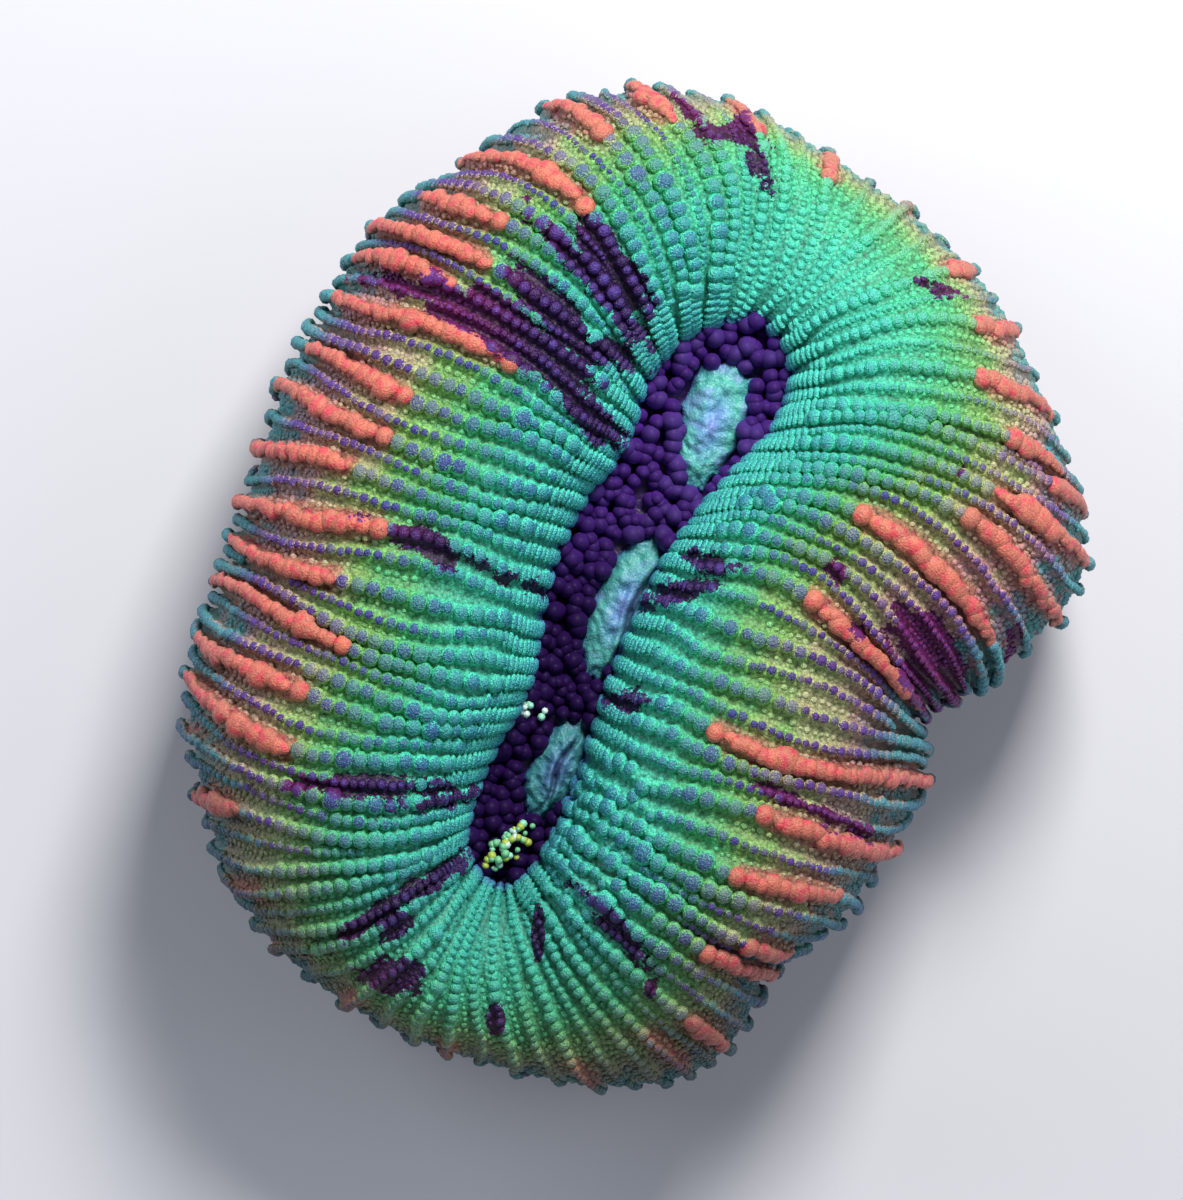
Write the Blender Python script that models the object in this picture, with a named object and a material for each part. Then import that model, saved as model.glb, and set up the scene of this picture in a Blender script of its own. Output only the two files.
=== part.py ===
"""Open brain coral: a fleshy ring folded round one long valley, on a stony foot cut off flat.

The coral grew as one piece, so it is one closed solid. Metres, +Z up, +Y along the longest extent.
"""

import math

import bmesh
import bpy
import numpy as np

MM = 0.001

# Row stations, in mm, seen from above and going anticlockwise from the north end of the valley.
# Each holds three points of one flesh row: on the valley's edge, halfway out, and on the rim.
STATIONS = (
    ((7.8, 28.3), (7.8, 44.6), (-1.1, 55.4)),
    ((5.4, 27.2), (0.6, 44.0), (-11.0, 52.5)),
    ((3.2, 25.1), (-6.6, 41.3), (-19.8, 46.0)),
    ((1.3, 22.2), (-13.8, 36.1), (-28.3, 40.2)),
    ((-1.2, 15.2), (-17.1, 25.1), (-34.7, 31.9)),
    ((-5.5, 9.6), (-22.6, 14.9), (-39.6, 22.8)),
    ((-9.1, 1.3), (-26.4, 6.4), (-43.7, 10.1)),
    ((-11.4, -10.1), (-28.1, -7.2), (-46.5, 1.7)),
    ((-15.4, -17.8), (-33.6, -17.8), (-49.6, -8.6)),
    ((-17.8, -24.0), (-33.0, -25.1), (-49.4, -18.9)),
    ((-18.4, -27.3), (-31.9, -32.8), (-45.1, -31.9)),
    ((-17.7, -29.7), (-27.5, -38.0), (-38.0, -41.8)),
    ((-16.5, -31.4), (-22.6, -42.4), (-27.5, -48.6)),
    ((-15.2, -32.2), (-17.3, -43.5), (-16.0, -53.0)),
    ((-13.9, -32.3), (-11.0, -43.5), (-3.9, -55.7)),
    ((-12.4, -31.4), (-4.4, -42.4), (6.6, -54.2)),
    ((-10.8, -29.5), (1.1, -40.7), (12.4, -49.0)),
    ((-9.0, -26.6), (4.4, -36.9), (15.7, -41.5)),
    ((-6.8, -21.8), (11.0, -30.6), (25.0, -34.4)),
    ((-3.1, -10.1), (13.8, -17.1), (32.6, -21.1)),
    ((2.4, 2.2), (18.2, -2.8), (31.9, -15.0)),
    ((7.8, 9.9), (27.0, 7.2), (40.5, -10.2)),
    ((11.6, 14.2), (32.2, 11.3), (49.3, -1.1)),
    ((14.9, 17.8), (32.5, 17.4), (49.9, 7.7)),
    ((16.5, 22.2), (31.9, 23.7), (46.8, 18.7)),
    ((16.3, 25.3), (28.6, 30.6), (41.0, 31.4)),
    ((14.9, 27.7), (23.4, 35.8), (31.9, 41.3)),
    ((12.9, 29.4), (19.8, 39.1), (20.6, 49.2)),
    ((10.2, 29.0), (14.0, 43.5), (9.9, 54.5)),
)
# Rows all the way round, tall and low by turns, spaced evenly along this share of their length.
ROWS = 110
SPACING_SHARE = 0.5

# Where the two ends of the valley lie, as shares of the way round.
NORTH_END = 0.948
SOUTH_END = 0.465

# Heights above the foot, in mm.
CREST_HEIGHT = 44.0
NORTH_SADDLE = 8.0
SOUTH_SADDLE = 10.5
FLOOR_HEIGHT = 29.0
FLOOR_SLOPE = 0.08
RIM_HEIGHT = 20.0
HEM_HEIGHT = 6.0
TUCK_HEIGHT = 8.5

# The section across one row: shares of the way from the valley's edge to the rim.
CREST_SHARE = 0.38
RIM_SHARE = 0.975
HEM_SHARE = 0.85
TUCK_SHARE = 0.76
FOOT_SHARE = 0.64
FULLNESS = 0.88

# Section angles in degrees: 0 valley edge, 90 crest, 180 rim, 270 hem, 360 foot.
RING_ANGLES = (0, 24, 48, 70, 91, 110, 128, 144, 158, 171, 188, 220, 268, 306, 360)

# How far rows and grooves stand off the skin, in mm; a tall row swells further on its outer half.
TALL_ROW = 0.75
TALL_SWELLING = 0.45
LOW_ROW = 0.55
GROOVE = -0.45

# Bubbles on the valley floor, in mm.
BUBBLE_PITCH = 3.35
BUBBLE_RADIUS = (1.35, 2.05)
# Mouths: share of the way along the valley, offset across it, half length and half width in mm.
MOUTHS = ((0.27, 0.05, 6.2, 2.8), (0.58, 0.42, 6.0, 2.7), (0.86, 0.42, 3.6, 2.3))
MOUTH_HEIGHT = 1.5

MERGE_DISTANCE = 1e-6
CLEAN_DISTANCE = 1e-5
STEP = 1e-4


def closed_curve(points, around):
    """Smooth closed curve through evenly spaced points, read at shares of the way round."""
    knots = np.asarray(points, float)
    place = np.mod(around, 1.0) * len(knots)
    index = np.floor(place).astype(int)
    t = (place - index)[:, None]
    before, here, after, beyond = (knots[(index + k) % len(knots)] for k in (-1, 0, 1, 2))
    return 0.5 * (
        2 * here
        + (after - before) * t
        + (2 * before - 5 * here + 4 * after - beyond) * t**2
        + (3 * here - before - 3 * after + beyond) * t**3
    )


def row_plan(around, share):
    """Plan position of a row's point: share 0 is on the valley's edge and 1 on the rim."""
    edge, middle, rim = (closed_curve([s[k] for s in STATIONS], around) for k in range(3))
    w = np.asarray(share, float)[:, None]
    return edge * (1 - w) * (1 - 2 * w) + middle * 4 * w * (1 - w) + rim * w * (2 * w - 1)


def hump(around, centre, width):
    """Smooth bump of height 1 round a place on the ring."""
    gap = np.mod(np.asarray(around) - centre + 0.5, 1.0) - 0.5
    return np.exp(-((gap / width) ** 2))


def crest_height(around):
    """Height of the flesh's crest: it sinks to a saddle at each end of the valley."""
    saddles = NORTH_SADDLE * hump(around, NORTH_END, 0.085) + SOUTH_SADDLE * hump(around, SOUTH_END, 0.1)
    return CREST_HEIGHT - saddles


def rim_height(around):
    """Height of the widest line: the eastern lobe rides over the one south of it."""
    return RIM_HEIGHT + 4.0 * hump(around, 0.745, 0.04) - 3.0 * hump(around, 0.64, 0.05)


def floor_height(plan):
    """The valley floor slopes down to the south."""
    return FLOOR_HEIGHT + FLOOR_SLOPE * plan[:, 1]


def swell(around, share):
    """Slow unevenness of the flesh, in mm of height."""
    turn = 2 * math.pi * np.asarray(around)
    return share * (0.7 * np.sin(5 * turn + 0.6) + 0.5 * np.sin(9 * turn + 2.1 + 2.5 * share))


def skin(around, angle):
    """Point of the smooth skin for a share of the way round and a section angle in degrees."""
    around = np.asarray(around, float)
    angle = np.asarray(angle, float)
    rise = np.radians(np.clip(angle, 0, 90))
    fall = np.radians(np.clip(angle - 90, 0, 90))
    turn = np.radians(np.clip(angle - 180, 0, 90))
    under = np.clip((angle - 270) / 90, 0, 1)

    share = CREST_SHARE * (1 - np.cos(rise) ** FULLNESS)
    outer = CREST_SHARE + (RIM_SHARE - CREST_SHARE) * np.sin(fall) ** FULLNESS
    share = np.where(angle > 90, outer, share)
    share = np.where(angle > 180, RIM_SHARE - (RIM_SHARE - HEM_SHARE) * (1 - np.cos(turn)), share)
    share = np.where(angle > 270, np.interp(under, (0, 0.4, 1), (HEM_SHARE, TUCK_SHARE, FOOT_SHARE)), share)
    plan = row_plan(around, share)

    crest = crest_height(around)
    rim = rim_height(around)
    floor = floor_height(row_plan(around, np.zeros_like(share)))
    height = floor + (crest - floor) * np.sin(rise) ** FULLNESS
    height = np.where(angle > 90, rim + (crest - rim) * np.cos(fall) ** FULLNESS, height)
    height = np.where(angle > 180, rim - (rim - HEM_HEIGHT) * np.sin(turn), height)
    height = np.where(angle > 270, np.interp(under, (0, 0.4, 1), (HEM_HEIGHT, TUCK_HEIGHT, 0)), height)
    lively = np.sin(np.radians(np.clip(angle, 0, 180)))
    return np.column_stack([plan, height + swell(around, share) * lively])


def skin_normal(around, angle):
    """Outward normal of the smooth skin."""
    round_way = skin(around + STEP, angle) - skin(around - STEP, angle)
    low, high = np.clip(angle - 1, 0, 360), np.clip(angle + 1, 0, 360)
    out_way = skin(around, high) - skin(around, low)
    normal = np.cross(out_way, round_way)
    return normal / np.linalg.norm(normal, axis=1)[:, None]


def row_places(samples=1500):
    """Shares of the way round, and the row number reached at each: rows lie evenly spaced."""
    around = np.linspace(0, 1, samples)
    line = row_plan(around, np.full(samples, SPACING_SHARE))
    run = np.concatenate([[0], np.cumsum(np.linalg.norm(np.diff(line, axis=0), axis=1))])
    return around, run / run[-1] * ROWS


def relief(row, angle):
    """How far the surface stands off the skin: tall and low rows by turns, with grooves between."""
    wave = 0.5 + 0.5 * np.cos(2 * math.pi * row)
    tall = np.mod(np.round(row), 2) == 0
    swelling = TALL_SWELLING * np.interp(angle, (80, 115, 165, 185), (0, 1, 1, 0))
    peak = np.where(tall, TALL_ROW + swelling, LOW_ROW)
    fade = np.interp(angle, (0, 20, 60, 170, 236, 270, 306, 359, 360), (0.15, 0.5, 1, 1, 0.7, 0.4, 0.25, 0.2, 0))
    return (GROOVE + (peak - GROOVE) * wave) * fade


def coral_surface(row, angle):
    """Point of the coral's outside, rows included, in mm."""
    places, rows = row_places()
    around = np.interp(row, rows, places)
    return skin(around, angle) + skin_normal(around, angle) * relief(row, angle)[:, None]


def flesh_ring():
    """Closed mesh of flesh and foot: a grid rolled round the valley, its two loops then filled."""
    bm = bmesh.new()
    bmesh.ops.create_grid(bm, x_segments=2 * ROWS, y_segments=len(RING_ANGLES) - 1, size=0.5)
    places = np.array([v.co[:2] for v in bm.verts]) + 0.5
    angles = np.interp(places[:, 1], np.linspace(0, 1, len(RING_ANGLES)), RING_ANGLES)
    for vert, point in zip(bm.verts, coral_surface(places[:, 0] * ROWS, angles) * MM):
        vert.co = point
    bmesh.ops.remove_doubles(bm, verts=bm.verts, dist=MERGE_DISTANCE)
    for vert in bm.verts:
        if vert.is_boundary and vert.co.z < MM:
            vert.co.z = 0.0
    bmesh.ops.holes_fill(bm, edges=[e for e in bm.edges if e.is_boundary], sides=0)
    bmesh.ops.triangulate(bm, faces=bm.faces, ngon_method="BEAUTY")
    bmesh.ops.recalc_face_normals(bm, faces=bm.faces)
    return bm


class Valley:
    """Places on the valley floor, by mm along its middle line from the north and share across."""

    def __init__(self, samples=200):
        t = np.linspace(0.02, 0.98, samples)
        west = row_plan(NORTH_END + t * (1 + SOUTH_END - NORTH_END), np.zeros(samples))
        east = row_plan(NORTH_END - t * (NORTH_END - SOUTH_END), np.zeros(samples))
        middle = (west + east) / 2
        gaps = np.linalg.norm(np.diff(middle, axis=0), axis=1)
        self.west, self.east = west, east
        self.run = np.concatenate([[0], np.cumsum(gaps)])
        self.length = self.run[-1]

    def at(self, along, across):
        """Point in mm: across runs from -1 on the west edge to 1 on the east edge."""
        west, east = (
            np.array([np.interp(along, self.run, side[:, k]) for k in range(2)])
            for side in (self.west, self.east)
        )
        plan = west + (east - west) * (across + 1) / 2
        return np.array([*plan, FLOOR_HEIGHT + FLOOR_SLOPE * plan[1]])

    def width(self, along):
        return np.linalg.norm(self.at(along, 1) - self.at(along, -1))

    def heading(self, along):
        """Angle of the middle line from +X, in radians."""
        ahead = self.at(along + 0.5, 0) - self.at(along - 0.5, 0)
        return math.atan2(ahead[1], ahead[0])


def add_lump(bm, centre, radii, heading=0.0, dimple=0.0):
    """One rounded lump on the floor; a dimple pushes its top down, as in a mouth."""
    lump = bmesh.ops.create_uvsphere(bm, u_segments=7 if not dimple else 10, v_segments=5, radius=1.0)
    for vert in lump["verts"]:
        x, y, z = vert.co
        if dimple and z > 0.9:
            z = 1 - dimple
        x, y, z = x * radii[0], y * radii[1], z * radii[2]
        turned = (
            x * math.cos(heading) - y * math.sin(heading),
            x * math.sin(heading) + y * math.cos(heading),
            z,
        )
        vert.co = [(c + t) * MM for c, t in zip(centre, turned)]


def near_mouth(valley, point):
    """True where a bubble would sit in a mouth."""
    for share, across, half_length, half_width in MOUTHS:
        centre = valley.at(share * valley.length, across)
        heading = valley.heading(share * valley.length)
        dx, dy = point[0] - centre[0], point[1] - centre[1]
        along = dx * math.cos(heading) + dy * math.sin(heading)
        side = -dx * math.sin(heading) + dy * math.cos(heading)
        if (along / half_length) ** 2 + (side / half_width) ** 2 < 1.25:
            return True
    return False


def floor_lumps():
    """Bubbles packed along the valley floor, and the three mouths among them."""
    valley = Valley()
    bm = bmesh.new()
    golden = (math.sqrt(5) - 1) / 2
    along = 2.5
    count = 0
    while along < valley.length - 2.5:
        abreast = max(2, round(valley.width(along) / BUBBLE_PITCH))
        for k in range(abreast):
            count += 1
            chance = (count * golden) % 1.0
            across = -1 + (2 * k + 1) / abreast + 0.2 * (chance - 0.5)
            centre = valley.at(along + 1.4 * (chance - 0.5), across * 0.84)
            if near_mouth(valley, centre):
                continue
            radius = BUBBLE_RADIUS[0] + (BUBBLE_RADIUS[1] - BUBBLE_RADIUS[0]) * ((count * 7 * golden) % 1.0)
            add_lump(bm, centre, (radius, radius, radius * 0.95))
        along += BUBBLE_PITCH
    for share, across, half_length, half_width in MOUTHS:
        place = share * valley.length
        centre = valley.at(place, across)
        add_lump(bm, centre, (half_length, half_width, MOUTH_HEIGHT), valley.heading(place), dimple=0.9)
    bmesh.ops.recalc_face_normals(bm, faces=bm.faces)
    return bm


def mesh_object(name, bm):
    mesh = bpy.data.meshes.new(name)
    bm.to_mesh(mesh)
    bm.free()
    made = bpy.data.objects.new(name, mesh)
    bpy.context.scene.collection.objects.link(made)
    return made


def clean_joints(mesh):
    """Merges the slivers where lumps meet the floor, and leaves triangles only."""
    bm = bmesh.new()
    bm.from_mesh(mesh)
    bmesh.ops.remove_doubles(bm, verts=bm.verts, dist=CLEAN_DISTANCE)
    bmesh.ops.dissolve_degenerate(bm, edges=bm.edges, dist=MERGE_DISTANCE)
    bmesh.ops.triangulate(bm, faces=bm.faces)
    bmesh.ops.recalc_face_normals(bm, faces=bm.faces)
    bm.to_mesh(mesh)
    bm.free()


def flesh_material():
    material = bpy.data.materials.new("coral_flesh")
    material.use_nodes = True
    shader = material.node_tree.nodes["Principled BSDF"]
    shader.inputs["Base Color"].default_value = (0.06, 0.42, 0.22, 1)
    shader.inputs["Roughness"].default_value = 0.5
    shader.inputs["Metallic"].default_value = 0.0
    return material


def centre_over_origin(made):
    """Moves the mesh so that its box stands centred on the origin."""
    corners = np.array([v.co for v in made.data.vertices])
    low, high = corners.min(0), corners.max(0)
    for vert in made.data.vertices:
        vert.co.x -= (low[0] + high[0]) / 2
        vert.co.y -= (low[1] + high[1]) / 2


def main():
    for old in list(bpy.data.objects):
        bpy.data.objects.remove(old)
    coral = mesh_object("brain_coral", flesh_ring())
    lumps = mesh_object("floor_lumps", floor_lumps())
    join = coral.modifiers.new("bubbles_and_mouths", "BOOLEAN")
    join.operation = "UNION"
    join.solver = "EXACT"
    join.use_self = True
    join.object = lumps
    coral.data.materials.append(flesh_material())
    joined = bpy.data.meshes.new_from_object(coral.evaluated_get(bpy.context.evaluated_depsgraph_get()))
    coral.modifiers.clear()
    coral.data = joined
    bpy.data.objects.remove(lumps)
    clean_joints(coral.data)
    centre_over_origin(coral)
    coral.data.shade_smooth()
    coral.data.set_sharp_from_angle(angle=math.radians(50))


main()
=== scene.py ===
"""Open brain coral: beaded rows of flesh folded round a valley of violet bubbles and three mouths."""

import logging
import math
from dataclasses import dataclass, field
from enum import Enum
from typing import Any, Optional, Sequence, Union

import bmesh
import bpy
import numpy as np
from mathutils import Matrix, Vector, noise


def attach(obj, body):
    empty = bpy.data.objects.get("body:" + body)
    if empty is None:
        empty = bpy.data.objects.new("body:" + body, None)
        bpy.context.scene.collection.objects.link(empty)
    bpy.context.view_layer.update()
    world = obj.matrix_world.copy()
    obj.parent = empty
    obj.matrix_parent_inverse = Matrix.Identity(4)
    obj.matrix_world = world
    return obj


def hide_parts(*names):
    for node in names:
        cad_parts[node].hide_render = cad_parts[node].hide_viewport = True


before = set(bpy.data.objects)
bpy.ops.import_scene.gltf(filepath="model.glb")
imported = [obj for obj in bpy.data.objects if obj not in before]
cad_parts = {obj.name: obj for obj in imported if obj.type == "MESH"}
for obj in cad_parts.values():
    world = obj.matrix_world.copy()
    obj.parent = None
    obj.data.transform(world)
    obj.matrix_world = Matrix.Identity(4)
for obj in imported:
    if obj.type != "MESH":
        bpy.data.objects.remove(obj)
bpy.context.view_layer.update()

log = logging.getLogger("brain_coral")
MM = 0.001
SEED = 11
# Room between main rows, in mm, over which the rows between the leading ones come up
FOLLOW_ROOM = (1.0, 1.9)
# Section angle, in degrees, past which nothing is stained
STAINED_UNTIL = 186.0
# Depth in mm that is kept for clear flesh, and the deepest that is kept inside a stain
CLEAR_DEPTH = -4.0
FULL_DEPTH = 2.0
# Smallest value of coarseness round the ring
FINEST = 0.62

Array = np.ndarray
Colour = tuple[float, float, float, float]


def paint(red: float, green: float, blue: float) -> Colour:
    """Turn a screen colour into a linear one.

    Args:
        red: Red, 0 to 255.
        green: Green, 0 to 255.
        blue: Blue, 0 to 255.

    Returns:
        The linear colour, opaque.
    """
    channels = []
    for value in (red, green, blue):
        part = value / 255
        channels.append(part / 12.92 if part <= 0.04045 else ((part + 0.055) / 1.055) ** 2.4)
    return (channels[0], channels[1], channels[2], 1.0)


def smoothstep(low: float, high: float, value: Array) -> Array:
    """Ease from 0 at low to 1 at high."""
    t = np.clip((np.asarray(value, float) - low) / (high - low), 0, 1)
    return t * t * (3 - 2 * t)


def cos_sin(degrees: float) -> tuple[float, float]:
    """Cosine and sine of a turn in degrees."""
    turn = math.radians(degrees)
    return math.cos(turn), math.sin(turn)


class Socket:
    """A shader value; arithmetic on it adds Math nodes."""

    def __init__(self, wiring: "Wiring", port: bpy.types.NodeSocket) -> None:
        """Wrap an output socket of a node in a wiring."""
        self.wiring = wiring
        self.port = port

    def _math(self, operation: str, first: Any, second: Any = 0.0) -> "Socket":
        """Add a Math node."""
        return self.wiring.node("ShaderNodeMath", {"operation": operation}, {0: first, 1: second})

    def __add__(self, other: Any) -> "Socket":
        """Add."""
        return self._math("ADD", self, other)

    def __radd__(self, other: Any) -> "Socket":
        """Add, reflected."""
        return self._math("ADD", other, self)

    def __sub__(self, other: Any) -> "Socket":
        """Subtract."""
        return self._math("SUBTRACT", self, other)

    def __rsub__(self, other: Any) -> "Socket":
        """Subtract, reflected."""
        return self._math("SUBTRACT", other, self)

    def __mul__(self, other: Any) -> "Socket":
        """Multiply."""
        return self._math("MULTIPLY", self, other)

    def __rmul__(self, other: Any) -> "Socket":
        """Multiply, reflected."""
        return self._math("MULTIPLY", other, self)

    def step(self, low: float, high: float) -> "Socket":
        """Ease from one value to another.

        Args:
            low: Where it is 0.
            high: Where it is 1.

        Returns:
            The eased value.
        """
        return self.wiring.node(
            "ShaderNodeMapRange",
            {"interpolation_type": "SMOOTHSTEP"},
            {"Value": self, "From Min": low, "From Max": high},
        )


class Wiring:
    """The nodes of one material, added by plain calls."""

    def __init__(self, name: str) -> None:
        """Start a material with only its Principled shader.

        Args:
            name: The material's name.
        """
        self.material = bpy.data.materials.new(name)
        self.material.use_nodes = True
        self.tree = self.material.node_tree
        self.shader = self.tree.nodes["Principled BSDF"]
        self.place = self.node("ShaderNodeTexCoord", output="Object")

    def node(
        self,
        kind: str,
        settings: Optional[dict[str, Any]] = None,
        inputs: Optional[dict[Union[str, int], Any]] = None,
        output: Union[str, int] = 0,
    ) -> Socket:
        """Add a node.

        Args:
            kind: The node's type.
            settings: Its properties, or a ramp's stops under "stops".
            inputs: Values or links of its sockets, by name or number.
            output: The output to hand back.

        Returns:
            The chosen output.
        """
        made = self.tree.nodes.new(kind)
        for key, value in (settings or {}).items():
            if key == "stops":
                self._set_stops(made.color_ramp, value)
            else:
                setattr(made, key, value)
        for key, value in (inputs or {}).items():
            self.feed(made.inputs[key], value)
        return Socket(self, made.outputs[output])

    def _set_stops(self, ramp: bpy.types.ColorRamp, stops: Sequence[tuple[float, Colour]]) -> None:
        """Give a ramp its stops.

        Args:
            ramp: The ramp of a new node.
            stops: Positions and colours, from low to high.
        """
        while len(ramp.elements) > 1:
            ramp.elements.remove(ramp.elements[-1])
        ramp.elements[0].position, ramp.elements[0].color = stops[0]
        for position, colour in stops[1:]:
            ramp.elements.new(position).color = colour

    def feed(self, port: bpy.types.NodeSocket, value: Any) -> None:
        """Link a socket into a port, or set the port's own value.

        Args:
            port: An input socket.
            value: A wrapped socket, or the value itself.
        """
        if isinstance(value, Socket):
            self.tree.links.new(value.port, port)
        else:
            port.default_value = value

    def set(self, **values: Any) -> None:
        """Feed the shader's sockets, named with underscores for spaces."""
        for key, value in values.items():
            self.feed(self.shader.inputs[key.replace("_", " ")], value)

    def attribute(self, name: str, output: str = "Fac") -> Socket:
        """Read a number or colour kept on the mesh."""
        return self.node("ShaderNodeAttribute", {"attribute_name": name}, output=output)

    def mix(self, factor: Any, first: Any, second: Any, blend: str = "MIX") -> Socket:
        """Mix two colours.

        Args:
            factor: 0 for the first, 1 for the second.
            first: A colour.
            second: Another.
            blend: How they mix.

        Returns:
            The colour.
        """
        return self.node(
            "ShaderNodeMix",
            {"data_type": "RGBA", "blend_type": blend},
            {0: factor, 6: first, 7: second},
            output=2,
        )

    def ramp(self, factor: Any, stops: Sequence[tuple[float, Colour]]) -> Socket:
        """Read a colour ramp."""
        return self.node("ShaderNodeValToRGB", {"stops": stops}, {0: factor})

    def noise(self, grains_per_mm: float, detail: float = 2.0, roughness: float = 0.5) -> Socket:
        """Soft noise in the object's own place.

        Args:
            grains_per_mm: How fine it is.
            detail: How many finer layers it has.
            roughness: How strong these are.

        Returns:
            A value of 0 to 1.
        """
        inputs = {
            "Vector": self.place,
            "Scale": grains_per_mm / MM,
            "Detail": detail,
            "Roughness": roughness,
        }
        return self.node("ShaderNodeTexNoise", inputs=inputs)

    def cells(self, cells_per_mm: float) -> Socket:
        """Distance to the nearest cell's centre, about 0 to 1."""
        inputs = {"Vector": self.place, "Scale": cells_per_mm / MM}
        return self.node("ShaderNodeTexVoronoi", inputs=inputs, output="Distance")

    def shaded(self, tone: Socket, shade: Socket) -> Socket:
        """Multiply a colour by a number."""
        grey = self.node("ShaderNodeCombineColor", inputs={0: shade, 1: shade, 2: shade})
        return self.mix(1.0, tone, grey, "MULTIPLY")

    def bump(self, height: Socket, depth_mm: float, strength: float = 1.0) -> None:
        """Feed the shader's normal with a bump of that depth."""
        inputs = {"Height": height, "Distance": depth_mm * MM, "Strength": strength}
        self.set(Normal=self.node("ShaderNodeBump", inputs=inputs))


@dataclass(frozen=True)
class Station:
    """Three points of one flesh row in plan, in mm: valley edge, halfway out and rim."""

    edge: tuple[float, float]
    middle: tuple[float, float]
    rim: tuple[float, float]


# The flesh's form in plan, at even steps from the north and round by the west
STATIONS = (
    Station((7.8, 28.3), (7.8, 44.6), (-1.1, 55.4)),
    Station((5.4, 27.2), (0.6, 44.0), (-11.0, 52.5)),
    Station((3.2, 25.1), (-6.6, 41.3), (-19.8, 46.0)),
    Station((1.3, 22.2), (-13.8, 36.1), (-28.3, 40.2)),
    Station((-1.2, 15.2), (-17.1, 25.1), (-34.7, 31.9)),
    Station((-5.5, 9.6), (-22.6, 14.9), (-39.6, 22.8)),
    Station((-9.1, 1.3), (-26.4, 6.4), (-43.7, 10.1)),
    Station((-11.4, -10.1), (-28.1, -7.2), (-46.5, 1.7)),
    Station((-15.4, -17.8), (-33.6, -17.8), (-49.6, -8.6)),
    Station((-17.8, -24.0), (-33.0, -25.1), (-49.4, -18.9)),
    Station((-18.4, -27.3), (-31.9, -32.8), (-45.1, -31.9)),
    Station((-17.7, -29.7), (-27.5, -38.0), (-38.0, -41.8)),
    Station((-16.5, -31.4), (-22.6, -42.4), (-27.5, -48.6)),
    Station((-15.2, -32.2), (-17.3, -43.5), (-16.0, -53.0)),
    Station((-13.9, -32.3), (-11.0, -43.5), (-3.9, -55.7)),
    Station((-12.4, -31.4), (-4.4, -42.4), (6.6, -54.2)),
    Station((-10.8, -29.5), (1.1, -40.7), (12.4, -49.0)),
    Station((-9.0, -26.6), (4.4, -36.9), (15.7, -41.5)),
    Station((-6.8, -21.8), (11.0, -30.6), (25.0, -34.4)),
    Station((-3.1, -10.1), (13.8, -17.1), (32.6, -21.1)),
    Station((2.4, 2.2), (18.2, -2.8), (31.9, -15.0)),
    Station((7.8, 9.9), (27.0, 7.2), (40.5, -10.2)),
    Station((11.6, 14.2), (32.2, 11.3), (49.3, -1.1)),
    Station((14.9, 17.8), (32.5, 17.4), (49.9, 7.7)),
    Station((16.5, 22.2), (31.9, 23.7), (46.8, 18.7)),
    Station((16.3, 25.3), (28.6, 30.6), (41.0, 31.4)),
    Station((14.9, 27.7), (23.4, 35.8), (31.9, 41.3)),
    Station((12.9, 29.4), (19.8, 39.1), (20.6, 49.2)),
    Station((10.2, 29.0), (14.0, 43.5), (9.9, 54.5)),
)


def hump(around: Array, centre: float, width: float) -> Array:
    """Smooth bump of height 1 at a place on the ring."""
    gap = np.mod(np.asarray(around) - centre + 0.5, 1.0) - 0.5
    return np.exp(-((gap / width) ** 2))


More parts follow.
